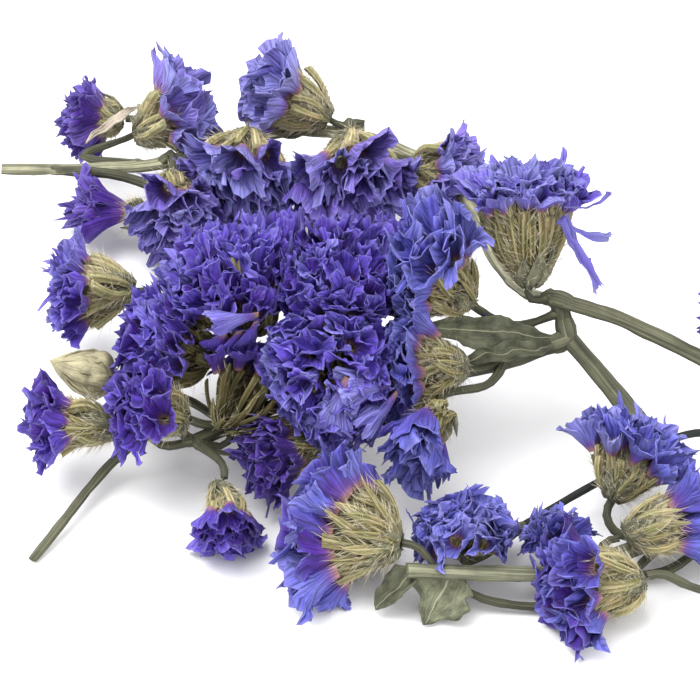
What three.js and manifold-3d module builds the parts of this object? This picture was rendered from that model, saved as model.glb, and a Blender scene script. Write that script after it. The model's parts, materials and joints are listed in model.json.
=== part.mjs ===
// A dried statice branch: one cut, much-branched flowering stem lying on a table.
// Every flower head is a fan of straw-coloured calyx tubes that open into blue papery calyx frills.
// Millimetres, +Z up. Places are written from the middle of the flower mass and moved as one group,
// so that the origin is under the middle of the whole branch.
import * as THREE from "three";
import { mergeVertices } from "three/addons/utils/BufferGeometryUtils.js";
import Module from "manifold-3d";

const wasm = await Module();
wasm.setup();

// Driving dimensions of a full-size flower head
const fullReach = 13; // from the foot of a head to the rim of its frills
const clearance = 0.3; // between pieces that touch
const smallestEdge = 0.14; // slivers finer than this are merged away
const tubeLength = 6.8; // from the foot to where the calyx tubes open
const tubeTip = 1.2; // half width of a calyx tube where it opens
const tubeRoot = 2.2; // distance from the foot at which a tube is rooted in the receptacle
const receptacle = { foot: 0.8, top: 1.9, height: 2.6, sides: 5 };
const frillRoot = 7.9; // distance from the foot at which a frill is rooted in the dish
const frillRim = 3.9; // radius of a frill's rim at the tips of its lobes
const frillLobes = 4;
const lobeNotch = 0.68; // radius of the notch between two lobes, as a share of the rim
const lobeDip = 0.16; // how far a notch lies below a lobe's tip, as a share of the frill's length
const hollowDepth = 0.5; // depth of a frill's hollow, as a share of its length
const dish = { inside: 7.6, outside: 9, sides: 7, spread: 1.1 }; // the curved web that joins the frills
const goldenTurn = THREE.MathUtils.degToRad(137.5);

// Driving dimensions of the stems
const wingedSection = { wing: 1.25, body: 0.7, depth: 0.75 }; // for a stem of radius 1
const twigSides = 4;
const longestStretch = { winged: 8, round: 6 }; // longest straight stretch of a stem
const neck = 1.6; // stretch of a twig that runs straight into its head
const twigRadius = [0.65, 0.52]; // where a twig leaves its branch, and under its head
const bladeThickness = 0.7;

// The group's shift puts the origin under the middle of the whole branch
const branchShift = [-20.2, -9.55, 0];

const colours = {
  frill: new THREE.MeshStandardMaterial({ color: 0x5b50b8, roughness: 0.8, metalness: 0 }),
  shadedFrill: new THREE.MeshStandardMaterial({ color: 0x3d2f80, roughness: 0.85, metalness: 0 }),
  tube: new THREE.MeshStandardMaterial({ color: 0xa39a68, roughness: 0.9, metalness: 0 }),
  bud: new THREE.MeshStandardMaterial({ color: 0xb9b089, roughness: 0.85, metalness: 0 }),
  stem: new THREE.MeshStandardMaterial({ color: 0x7c8060, roughness: 0.85, metalness: 0 }),
};

// Flower heads: foot is where the twig ends, faces is the way the head opens, reach its radius,
// fan the lean of its outermost calyces in degrees, and count how many calyces it shows.
const heads = {
  crown: { foot: [19.5, 2, 19.5], faces: [-0.05, 0.3, 0.95], reach: 14.5, fan: 34, count: 8 },
  flank: { foot: [13, 1, 17.8], faces: [-0.7, -0.05, 0.7], reach: 13, fan: 44, count: 9 },
  drape: { foot: [12.5, -4.5, 13], faces: [-0.92, -0.25, 0.3], reach: 12, fan: 40, count: 8 },
  cascade: { foot: [9.6, -9.5, 12], faces: [-0.33, -0.94, -0.07], reach: 12, fan: 40, count: 8 },
  mass_rear_left: { foot: [-12, 3, 12], faces: [-0.1, 0.1, 0.98], reach: 14.5, fan: 54, count: 11 },
  mass_rear_right: { foot: [-1, 1.5, 13], faces: [0.05, 0.1, 0.98], reach: 14.5, fan: 54, count: 11 },
  mass_left: { foot: [-15, 0.5, 10.5], faces: [-0.85, -0.1, 0.5], reach: 12.5, fan: 50, count: 9 },
  mass_front: { foot: [-2, -2.5, 10.5], faces: [0, -0.72, 0.68], reach: 13.5, fan: 54, count: 11 },
  mass_low: { foot: [-13, -8, 6.5], faces: [0.5, 0.1, 0.82], reach: 12, fan: 46, count: 8 },
  west: { foot: [-24.5, 14.5, 9.2], faces: [-0.99, -0.05, 0.08], reach: 12, fan: 37, count: 7 },
  west_low: { foot: [-24.4, -7.6, 7.6], faces: [-0.99, -0.05, 0.12], reach: 12.3, fan: 29, count: 6 },
  knot: { foot: [-17.4, -8, 8.6], faces: [-0.8, -0.2, 0.54], reach: 10.8, fan: 42, count: 7 },
  shade: { foot: [-1, -8.7, 7.9], faces: [-0.95, -0.3, -0.05], reach: 12, fan: 35, count: 7 },
  dangle: { foot: [-13.5, -15, 6.2], faces: [0.1, -0.95, -0.3], reach: 9.4, fan: 27, count: 6 },
  broad: { foot: [5.6, -26.5, 7.1], faces: [-0.92, 0.36, 0], reach: 13.8, fan: 46, count: 9 },
  low_front: { foot: [12, -23.2, 3], faces: [-0.05, 0, 0.99], reach: 8.6, fan: 68, count: 9 },
  right_inner: { foot: [21.8, -24, 2.4], faces: [0, 0.1, 0.99], reach: 6.5, fan: 54, count: 7 },
  right_under: { foot: [31, -29, 4.7], faces: [-0.98, -0.18, 0], reach: 12.3, fan: 34, count: 7 },
  right_upper: { foot: [28, -18.3, 6], faces: [0.4, 0.4, 0.8], reach: 10.5, fan: 48, count: 8 },
  right_outer: { foot: [28.4, -24.5, 6], faces: [0.95, 0.1, 0.3], reach: 11.5, fan: 34, count: 6 },
  far_right: { foot: [43, -4, 13], faces: [0.15, 0.85, 0.3], reach: 10, fan: 42, count: 7 },
  back_tip: { foot: [-27.5, 50.5, 8.6], faces: [-0.99, 0, 0.05], reach: 9.8, fan: 40, count: 7 },
  back_high: { foot: [-26.5, 47, 8.5], faces: [0.92, 0.15, 0.36], reach: 11, fan: 38, count: 7 },
  back_crest: { foot: [-2.5, 46.5, 11.2], faces: [-0.88, 0.2, 0.42], reach: 11.5, fan: 32, count: 7 },
  back_row: { foot: [-12, 43, 12.2], faces: [-0.15, -0.9, -0.4], reach: 11.5, fan: 44, count: 8 },
  back_row_right: { foot: [0, 42, 12.2], faces: [0.1, -0.9, -0.4], reach: 11.5, fan: 44, count: 8 },
  back_hang: { foot: [-21, 39, 8.5], faces: [0.15, -0.95, -0.25], reach: 11, fan: 38, count: 7 },
  back_low: { foot: [-23.5, 35.5, 5], faces: [-0.98, 0.05, 0.05], reach: 10.5, fan: 28, count: 7 },
  back_right: { foot: [6.2, 38.5, 10], faces: [0.93, -0.3, -0.1], reach: 10, fan: 38, count: 7 },
};

// A head still in bud, closed under its scales
const bud = { foot: [-26.2, -0.2, 7.8], faces: [-0.95, 0.15, 0.27], length: 7.3, radius: 3, scales: 6 };

// Branches that carry the twigs: path, radius at the two ends, and whether the stem is winged
const branches = {
  main: {
    winged: true,
    radius: [1.4, 1.2],
    path: [[82, -13, 0.75], [64, -18, 0.85], [52, -22, 1.6], [43, -26, 2.2]],
  },
  middle: {
    winged: true,
    radius: [1.15, 1],
    path: [[43, -26, 2.2], [36, -14, 4.5], [30, -5, 8.5], [24, -0.5, 14]],
  },
  rise: { winged: false, radius: [0.95, 0.9], path: [[24, -0.5, 14], [23.2, 1, 16.5], [22.5, 1.5, 18]] },
  right: {
    winged: true,
    radius: [0.9, 1],
    path: [[22, 1.5, 18], [28, -0.5, 17.3], [33, -1.7, 15.5], [38.5, -3.5, 13.5]],
  },
  left: {
    winged: false,
    radius: [0.95, 0.8],
    path: [
      [24, -0.5, 14], [17, -2.5, 12.5], [10, -2.5, 10.5], [2, -3, 8.5],
      [-6, -3.5, 8], [-13, -6, 6], [-17, -8.5, 6],
    ],
  },
  back: {
    winged: true,
    radius: [0.85, 0.9],
    path: [
      [22, 1.5, 18], [20, 9, 13], [17, 21, 9], [15, 31, 8.5],
      [10, 39.5, 9], [1, 45.5, 9.5], [-6, 47.5, 9],
    ],
  },
  back_left: {
    winged: true,
    radius: [0.9, 0.8],
    path: [[-6, 47.5, 9], [-15, 46.5, 8], [-23, 42.5, 7.5], [-34, 40.5, 8], [-42, 40.5, 8]],
  },
  back_fork: { winged: false, radius: [0.65, 0.6], path: [[-36, 40.3, 8], [-28, 39.5, 7.8], [-19, 37, 5.8]] },
  front: {
    winged: true,
    radius: [0.95, 0.85],
    path: [
      [43, -26, 2.2], [38, -21.5, 2.8], [33.5, -21.5, 3], [27, -24.3, 3],
      [22, -26.8, 3.2], [14, -28, 4.2], [6, -29, 5.5],
    ],
  },
  wiry: {
    winged: false,
    radius: [0.45, 0.42],
    path: [[62, -18.5, 1.8], [50, -11, 4.5], [38.5, -5.8, 5], [27, -13.8, 4.8], [18.5, -19, 3]],
  },
  stub: {
    winged: true,
    radius: [0.62, 0.55],
    path: [[-17, -8.5, 6], [-20.5, -4.5, 4.8], [-25.5, -8.2, 3.4], [-34, -21.7, 0.4]],
  },
  snapped: { winged: false, radius: [0.45, 0.4], path: [[-17, -8.5, 6], [-15, -9.6, 5.6], [-12, -10, 5.4]] },
};

// Twigs: where each leaves its branch, and what it passes on its way to the head
const twigs = {
  crown: [[22.5, 1.5, 18]],
  flank: [[23.2, 1, 16.5], [18, 0.8, 14.8]],
  drape: [[17, -2.5, 12.5]],
  cascade: [[17, -2.5, 12.5], [15, -6, 12]],
  mass_rear_left: [[-6, -3.5, 8], [-11, -0.5, 9.5]],
  mass_rear_right: [[3, -3, 8.8]],
  mass_left: [[-6, -3.5, 8]],
  mass_front: [[3, -3, 8.8], [1, -0.2, 9.8]],
  mass_low: [[-17, -8.5, 6]],
  west: [[-6, -3.5, 8], [-12, 8, 6.5]],
  bud: [[-13, -6, 6], [-19, -1, 6.3]],
  west_low: [[-17, -8.5, 6], [-20.5, -8.7, 5.6]],
  knot: [[-13, -6, 6]],
  shade: [[8, -2.6, 10], [5, -7.6, 7.9]],
  dangle: [[-17, -8.5, 6]],
  broad: [[33.5, -21.5, 3], [26, -28.5, 1.1], [15, -29.5, 1.6], [9.5, -28, 4.2]],
  low_front: [[18.5, -19, 3], [15, -21, 1.2]],
  right_inner: [[27, -24.3, 3], [24, -22.8, 1.2]],
  right_under: [[43, -26, 2.2], [37, -29.5, 3.2]],
  right_upper: [[33.5, -21.5, 3], [28.5, -20.5, 3.2]],
  right_outer: [[38, -21.5, 2.8], [33.5, -24.6, 1.5], [26.2, -25.8, 3]],
  far_right: [[38.5, -3.5, 13.5], [41, -6, 12.8]],
  back_tip: [[-15, 46.5, 8], [-21, 51, 8]],
  back_high: [[-25, 42, 7.6], [-32.5, 44.5, 7.2]],
  back_crest: [[1, 45.5, 9.5], [1.5, 46.5, 10.8]],
  back_row: [[-6, 47.5, 9], [-11, 45.5, 11.5]],
  back_row_right: [[1, 45.5, 9.5], [0.2, 44.5, 11.5]],
  back_hang: [[-23, 42.5, 7.5], [-21.5, 42.5, 9]],
  back_low: [[-19, 37, 5.8]],
  back_right: [[10, 39.5, 9], [4, 41, 9.8]],
};

// Leaves and bracts that grow from the stems: where each is rooted, where it ends, its width, and
// the way its face looks
const blades = {
  pale_leaf: { root: [11, -28.2, 4.6], tip: [7.8, -32, 0.5], width: 6.2, faces: [0, -0.8, 0.6] },
  dark_leaf: { root: [7, -28.5, 5.5], tip: [2.8, -30.2, 1.4], width: 3.2, faces: [-0.6, -0.6, 0.5] },
  wide_bract: { root: [24, -0.8, 14.2], tip: [8, -3.4, 15.4], width: 5, faces: [0, -0.8, 0.6] },
  thin_bract: { root: [23, -1.6, 13.6], tip: [11.5, -4.2, 12.8], width: 2.4, faces: [0, -0.6, 0.8] },
  back_leaf: { root: [-20, 43.5, 8], tip: [-26, 50, 11], width: 2.6, faces: [0.3, -0.6, 0.7] },
};

// A repeatable random number source, so that the part is the same each time it is built
function randomFrom(seed) {
  let state = seed >>> 0;
  return () => {
    state = (state + 0x6d2b79f5) >>> 0;
    let t = Math.imul(state ^ (state >>> 15), state | 1);
    t ^= t + Math.imul(t ^ (t >>> 7), t | 61);
    return ((t ^ (t >>> 14)) >>> 0) / 4294967296;
  };
}

const vector = (xyz) => new THREE.Vector3(...xyz);

// A geometry with positions alone and its shared corners merged
function bare(geometry) {
  geometry.deleteAttribute("normal");
  geometry.deleteAttribute("uv");
  return mergeVertices(geometry, 1e-4);
}

function solidOf(geometry) {
  const merged = bare(geometry);
  return new wasm.Manifold(
    new wasm.Mesh({
      numProp: 3,
      vertProperties: merged.attributes.position.array,
      triVerts: new Uint32Array(merged.index.array),
    }),
  );
}

function geometryOf(solid) {
  const { vertProperties, triVerts } = solid.getMesh();
  return new THREE.BufferGeometry()
    .setAttribute("position", new THREE.BufferAttribute(vertProperties, 3))
    .setIndex(new THREE.BufferAttribute(triVerts, 1));
}

const joined = (solids) => solids.reduce((whole, solid) => whole.add(solid));

// The largest body of a solid: a cut can leave a loose scrap beside it
function largestBody(solid) {
  return solid
    .simplify(smallestEdge)
    .decompose()
    .reduce((a, b) => (a.volume() > b.volume() ? a : b));
}

function meshOf(name, solid, material) {
  const mesh = new THREE.Mesh(geometryOf(solid), material);
  mesh.name = name;
  return mesh;
}

// Moves every vertex of a geometry by a function that changes the vector it is given
function reshape(geometry, change) {
  const position = geometry.attributes.position;
  const v = new THREE.Vector3();
  for (let i = 0; i < position.count; i++) {
    change(v.fromBufferAttribute(position, i));
    position.setXYZ(i, v.x, v.y, v.z);
  }
  return geometry;
}

function pointsOf(geometry) {
  const position = geometry.attributes.position;
  const point = (_, i) => new THREE.Vector3().fromBufferAttribute(position, i);
  return Array.from({ length: position.count }, point);
}

// Turns a geometry that points along +Z to another way and moves it to its root
function pointed(geometry, root, way, spin) {
  const turn = new THREE.Quaternion().setFromUnitVectors(new THREE.Vector3(0, 0, 1), way);
  return geometry.rotateZ(spin).applyQuaternion(turn).translate(...root.toArray());
}

// The frame of a head or a blade: its foot at the origin and its own way along +Z
function frameAt(foot, faces) {
  const axis = vector(faces).normalize();
  const side = new THREE.Vector3(0, 0, 1).cross(axis);
  if (side.length() < 0.4) side.set(1, 0, 0).addScaledVector(axis, -axis.x);
  side.normalize();
  return new THREE.Matrix4().makeBasis(side, axis.clone().cross(side), axis).setPosition(vector(foot));
}

// Stems

const curveThrough = (points) => new THREE.CatmullRomCurve3(points, false, "centripetal");

// A twig's curve, which ends square under the foot of what it carries
function twigCurve(route, { foot, faces }) {
  const end = vector(foot);
  const approach = end.clone().addScaledVector(vector(faces).normalize(), -neck);
  return curveThrough([...route.map(vector), approach, end]);
}

function stemCurves() {
  const carrying = Object.values(branches).map(({ path, radius, winged }) => ({
    curve: curveThrough(path.map(vector)),
    radius,
    winged,
  }));
  const carried = Object.entries(twigs).map(([name, route]) => ({
    curve: twigCurve(route, name === "bud" ? bud : heads[name]),
    radius: twigRadius,
    winged: false,
    carries: name,
  }));
  return [...carrying, ...carried];
}

function stemSection(winged) {
  if (!winged) {
    const corners = new THREE.EllipseCurve(0, 0, 1, 1).getPoints(twigSides);
    return new THREE.Shape(corners.slice(0, twigSides));
  }
  const { wing, body, depth } = wingedSection;
  const upper = [[0, wing], [-depth, body], [-depth, -body]];
  const lower = upper.map(([x, y]) => [-x, -y]);
  return new THREE.Shape([...upper, ...lower].map(([x, y]) => new THREE.Vector2(x, y)));
}

// A stem along its curve, tapered from one radius to the other, with room for a clearance round it
function stemSolid({ curve, radius, winged }, extra = 0) {
  const stretch = winged ? longestStretch.winged : longestStretch.round;
  const steps = Math.max(2, Math.ceil(curve.getLength() / stretch));
  const stations = curve.getSpacedPoints(steps);
  const tangents = stations.map((_, i) => curve.getTangentAt(i / steps));
  const sweep = { steps, extrudePath: curve, curveSegments: 1 };
  const geometry = new THREE.ExtrudeGeometry(stemSection(winged), sweep);
  reshape(geometry, (v) => {
    const offPlane = (i) => Math.abs(v.clone().sub(stations[i]).dot(tangents[i]));
    const off = (i) => offPlane(i) + 0.2 * v.distanceTo(stations[i]);
    const nearest = stations.reduce((best, _, i) => (off(i) < off(best) ? i : best), 0);
    const size = THREE.MathUtils.lerp(radius[0], radius[1], nearest / steps) + extra;
    v.sub(stations[nearest]).multiplyScalar(size).add(stations[nearest]);
  });
  return solidOf(geometry);
}

// A leaf: a pointed blade with a flat face, rooted a little inside the stem
function bladeSolid({ root, tip, width, faces }, extra = 0) {
  const along = vector(tip).sub(vector(root));
  const length = along.length() + extra;
  const half = width / 2 + extra;
  const thickness = bladeThickness + 2 * extra;
  const outline = new THREE.Shape()
    .moveTo(-0.5 - extra, 0)
    .quadraticCurveTo(0.3 * length, 1.5 * half, length, 0)
    .quadraticCurveTo(0.3 * length, -1.5 * half, -0.5 - extra, 0);
  const plate = { depth: thickness, bevelEnabled: false, curveSegments: 4 };
  const blade = new THREE.ExtrudeGeometry(outline, plate);
  const x = along.normalize();
  const z = vector(faces).addScaledVector(x, -vector(faces).dot(x)).normalize();
  const place = new THREE.Matrix4().makeBasis(x, z.clone().cross(x), z).setPosition(vector(root));
  return solidOf(blade.translate(0, 0, -thickness / 2).applyMatrix4(place));
}

// Points down the middle of every stem, for keeping calyces clear of them
function stemSamples(stems) {
  return stems.flatMap(({ curve, radius, winged, carries }) => {
    const count = Math.ceil(curve.getLength() / 1.5);
    return curve.getSpacedPoints(count).map((at, i) => ({
      at,
      carries,
      radius: THREE.MathUtils.lerp(radius[0], radius[1], i / count) * (winged ? wingedSection.wing : 1),
    }));
  });
}

// Flower heads, built in the frame of each head

// Each head's place, the middle of its room, and how much room it takes
function placeHeads() {
  return Object.fromEntries(
    Object.entries(heads).map(([name, head]) => {
      const matrix = frameAt(head.foot, head.faces);
      const middle = new THREE.Vector3(0, 0, 0.6 * head.reach).applyMatrix4(matrix);
      return [name, { matrix, middle, room: (0.45 + 0.006 * head.fan) * head.reach }];
    }),
  );
}

// The planes that bound a head: the table, and one between it and each neighbour it would run into
function boundsOfHead(name, placed) {
  const here = placed[name];
  const planes = [new THREE.Plane(new THREE.Vector3(0, 0, -1), 0)];
  for (const [other, there] of Object.entries(placed)) {
    const apart = there.middle.distanceTo(here.middle);
    if (other === name || apart > here.room + there.room) continue;
    const normal = there.middle.clone().sub(here.middle).divideScalar(apart);
    const share = (apart ** 2 + here.room ** 2 - there.room ** 2) / (2 * apart);
    const at = here.middle.clone().addScaledVector(normal, share - 0.55 * clearance);
    planes.push(new THREE.Plane().setFromNormalAndCoplanarPoint(normal, at));
  }
  const toHead = here.matrix.clone().invert();
  return planes.map((plane) => plane.applyMatrix4(toHead));
}

// How much of its size a shape may keep, grown from its root, before it meets a plane or a stem
function roomToGrow(root, points, planes, obstacles) {
  const met = obstacles.map(({ at, radius }) => {
    const normal = at.clone().sub(root).normalize();
    const face = at.clone().addScaledVector(normal, -radius - clearance);
    return new THREE.Plane().setFromNormalAndCoplanarPoint(normal, face);
  });
  let share = 1;
  for (const plane of [...planes, ...met]) {
    const room = -plane.distanceToPoint(root);
    for (const point of points) {
      const toward = plane.normal.dot(point.clone().sub(root));
      if (toward > 1e-6) share = Math.min(share, room / toward);
    }
  }
  return share;
}

// The ways a head's calyces point, from its middle outwards in a sunflower's order
function calyxWays({ count, fan }, random) {
  const phase = random() * 2 * Math.PI;
  return Array.from({ length: count }, (_, i) => {
    const share = Math.sqrt((i + 0.4) / (count - 0.6)) * (0.95 + 0.1 * random());
    const lean = share * THREE.MathUtils.degToRad(fan);
    const turn = phase + i * goldenTurn;
    const aside = new THREE.Vector3(Math.cos(turn), Math.sin(turn), 0);
    return aside.multiplyScalar(Math.sin(lean)).setZ(Math.cos(lean));
  });
}

// One papery frill: a fluted funnel with a pointed root, a lobed rim and a hollow middle
function frillGeometry(length, rim, random) {
  const corners = 2 * frillLobes;
  const lift = Array.from({ length: corners }, () => random() - 0.5);
  const cone = bare(new THREE.ConeGeometry(rim, length, corners))
    .rotateX(-Math.PI / 2)
    .translate(0, 0, length / 2);
  return reshape(cone, (v) => {
    if (v.z < length / 2) return;
    if (Math.hypot(v.x, v.y) < rim / 2) {
      v.z = length * (1 - hollowDepth);
      return;
    }
    const k = (Math.round((Math.atan2(v.y, v.x) * corners) / (2 * Math.PI)) + corners) % corners;
    const notched = k % 2 === 1;
    const size = (notched ? lobeNotch : 1) * (1 + 0.24 * lift[k]);
    v.x *= size;
    v.y *= size;
    v.z += length * (0.16 * lift[(k + 3) % corners] - (notched ? lobeDip : 0));
  });
}

// The curved web inside a head that its frills grow out of, above the open ends of the tubes
function dishSolid(fan, size) {
  const { inside, outside, sides, spread } = dish;
  const edge = THREE.MathUtils.degToRad(Math.min(fan * spread, 52));
  const ring = (r, lean) => new THREE.Vector2(r * size * Math.sin(lean), r * size * Math.cos(lean));
  const outline = [
    ring(inside, 0),
    ring(inside, edge / 2),
    ring(inside, edge),
    ring(outside, edge),
    ring(outside, edge / 2),
    ring(outside, 0),
  ];
  // A lathe turns about Y, so the dish is tipped up onto Z afterwards
  return solidOf(new THREE.LatheGeometry(outline, sides).rotateX(Math.PI / 2));
}

function grownFrom(root, geometry, least, planes, obstacles) {
  const share = roomToGrow(root, pointsOf(geometry), planes, obstacles);
  if (share < least) return [];
  return [solidOf(reshape(geometry, (v) => v.sub(root).multiplyScalar(share).add(root)))];
}

function frillsSolid(head, ways, size, planes, obstacles, random) {
  let whole = dishSolid(head.fan, size);
  for (const { normal, constant } of planes) {
    whole = whole.trimByPlane(normal.clone().negate().toArray(), constant);
  }
  const frills = ways.flatMap((way) => {
    const root = way.clone().multiplyScalar(frillRoot * size);
    const rim = frillRim * size * (0.9 + 0.2 * random());
    const frill = frillGeometry(head.reach - frillRoot * size, rim, random);
    return grownFrom(root, pointed(frill, root, way, random() * Math.PI), 0.3, planes, obstacles);
  });
  return joined([whole, ...frills]);
}

function tubesSolid(ways, size, planes, obstacles, random) {
  const { foot, top, height, sides } = receptacle;
  const base = new THREE.CylinderGeometry(top * size, foot, height * size, sides)
    .rotateX(Math.PI / 2)
    .translate(0, 0, clearance + (height * size) / 2);
  const tubes = ways.flatMap((way) => {
    const root = way.clone().multiplyScalar(tubeRoot * size).add(new THREE.Vector3(0, 0, clearance));
    const length = (tubeLength - tubeRoot) * size - clearance;
    const tube = bare(new THREE.ConeGeometry(tubeTip * size * (0.9 + 0.2 * random()), length, 4))
      .rotateX(-Math.PI / 2)
      .translate(0, 0, length / 2);
    return grownFrom(root, pointed(tube, root, way, random() * Math.PI), 0.45, planes, obstacles);
  });
  return joined([solidOf(base), ...tubes]);
}

// What is left of a solid clear of the stems and leaves that it would touch
function clearOf(solid, surround) {
  const touching = surround.filter((other) => !solid.intersect(other).isEmpty());
  return largestBody(touching.reduce((left, other) => left.subtract(other), solid));
}

function headGroup(name, seed, placed, samples, surround) {
  const head = heads[name];
  const { matrix, middle } = placed[name];
  const random = randomFrom(seed);
  const size = head.reach / fullReach;
  const ways = calyxWays(head, random);
  const planes = boundsOfHead(name, placed);
  const toHead = matrix.clone().invert();
  const near = samples
    .filter(({ carries, at }) => carries !== name && at.distanceTo(middle) < 1.6 * head.reach)
    .map(({ at, radius }) => ({ at: at.clone().applyMatrix4(toHead), radius }));
  const others = surround
    .filter(({ carries }) => carries !== name)
    .map(({ solid }) => solid.transform(toHead.toArray()));
  const group = new THREE.Group();
  group.applyMatrix4(matrix);
  const shaded = head.foot[1] > 30 || name === "shade";
  const frills = clearOf(frillsSolid(head, ways, size, planes, near, random), others);
  const tubes = clearOf(tubesSolid(ways, size, planes, near, random), others);
  group.add(meshOf(`${name}_frills`, frills, shaded ? colours.shadedFrill : colours.frill));
  group.add(meshOf(`${name}_tubes`, tubes, colours.tube));
  return group;
}

// The closed bud: overlapping pointed scales round a short spindle
function budMesh() {
  const { foot, faces, length, radius, scales } = bud;
  const outline = [[0, 0], [0.55, 0.06], [1, 0.4], [0.8, 0.75], [0, 1]];
  const spindle = outline.map(([r, z]) => new THREE.Vector2(r * radius, z * length));
  const parts = [solidOf(new THREE.LatheGeometry(spindle, scales).rotateX(Math.PI / 2))];
  for (let i = 0; i < scales; i++) {
    const rise = i % 2 ? 0.95 : 0.75;
    const scale = new THREE.ConeGeometry(0.45 * radius, rise * length, 4)
      .rotateX(Math.PI / 2)
      .translate(0, 0, (rise * length) / 2)
      .rotateX(0.12)
      .translate(0, -0.72 * radius, 0.14 * length)
      .rotateZ((i * 2 * Math.PI) / scales);
    parts.push(solidOf(scale));
  }
  const solid = joined(parts).translate([0, 0, clearance]);
  const mesh = meshOf("bud", largestBody(solid), colours.bud);
  mesh.applyMatrix4(frameAt(foot, faces));
  return mesh;
}

const stems = stemCurves();
const placed = placeHeads();
const samples = stemSamples(stems);
// The stems and leaves, each grown by the clearance that the heads keep from them
const surround = [
  ...stems.map((stem) => ({ carries: stem.carries, solid: stemSolid(stem, clearance) })),
  ...Object.values(blades).map((blade) => ({ solid: bladeSolid(blade, clearance) })),
];

const branch = new THREE.Group();
branch.position.set(...branchShift);
Object.keys(heads).forEach((name, i) => {
  branch.add(headGroup(name, 101 + 17 * i, placed, samples, surround));
});
branch.add(budMesh());
const stemPieces = [
  ...stems.map((stem) => stemSolid(stem)),
  ...Object.values(blades).map((blade) => bladeSolid(blade)),
];
// The table presses the lowest stems a little flat
const wholeStem = joined(stemPieces).trimByPlane([0, 0, 1], 0);
branch.add(meshOf("stem", largestBody(wholeStem), colours.stem));

export default branch;
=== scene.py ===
"""A dried statice branch: papery calyx frills, ribbed hairy calyx tubes and winged stems, dressed
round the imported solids. Lengths are in millimetres until a mesh is made, then in metres."""

import json
import math
from collections import namedtuple

import bpy
import numpy as np
from bpy.props import FloatProperty, FloatVectorProperty, PointerProperty
from mathutils import Matrix, Vector

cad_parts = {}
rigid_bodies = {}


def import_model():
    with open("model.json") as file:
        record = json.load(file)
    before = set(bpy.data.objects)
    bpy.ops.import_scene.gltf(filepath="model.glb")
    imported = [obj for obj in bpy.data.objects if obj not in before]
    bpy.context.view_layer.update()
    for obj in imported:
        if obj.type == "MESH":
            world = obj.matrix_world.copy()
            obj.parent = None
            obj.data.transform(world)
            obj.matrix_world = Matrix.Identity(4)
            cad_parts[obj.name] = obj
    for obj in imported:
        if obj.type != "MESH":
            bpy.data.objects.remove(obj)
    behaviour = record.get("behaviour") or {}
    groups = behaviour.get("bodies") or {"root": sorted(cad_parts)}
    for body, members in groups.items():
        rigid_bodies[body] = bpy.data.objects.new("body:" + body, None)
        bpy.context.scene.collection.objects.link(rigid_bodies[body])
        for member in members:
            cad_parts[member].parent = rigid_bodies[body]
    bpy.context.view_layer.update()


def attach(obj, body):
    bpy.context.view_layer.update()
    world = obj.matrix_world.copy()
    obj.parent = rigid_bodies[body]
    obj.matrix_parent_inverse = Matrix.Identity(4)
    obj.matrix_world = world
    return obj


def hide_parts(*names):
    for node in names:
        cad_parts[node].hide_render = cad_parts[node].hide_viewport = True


bl_info = {
    "name": "Dried statice branch",
    "version": (1, 0, 0),
    "blender": (4, 5, 0),
    "location": "3D View > Sidebar > Statice",
    "description": "Builds the frills, calyx tubes, bud, stems and leaves of a dried statice branch",
    "category": "Object",
}

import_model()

MM = 0.001
FULL_TURN = 2 * math.pi
GOLDEN_TURN = math.radians(137.5)
BODY = "root"
MAP_NAME = "UVMap"
# What moves the branch from where its paths are measured to the middle of the part's frame
BRANCH_SHIFT = np.array((-20.2, -9.55, 0.0))

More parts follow.
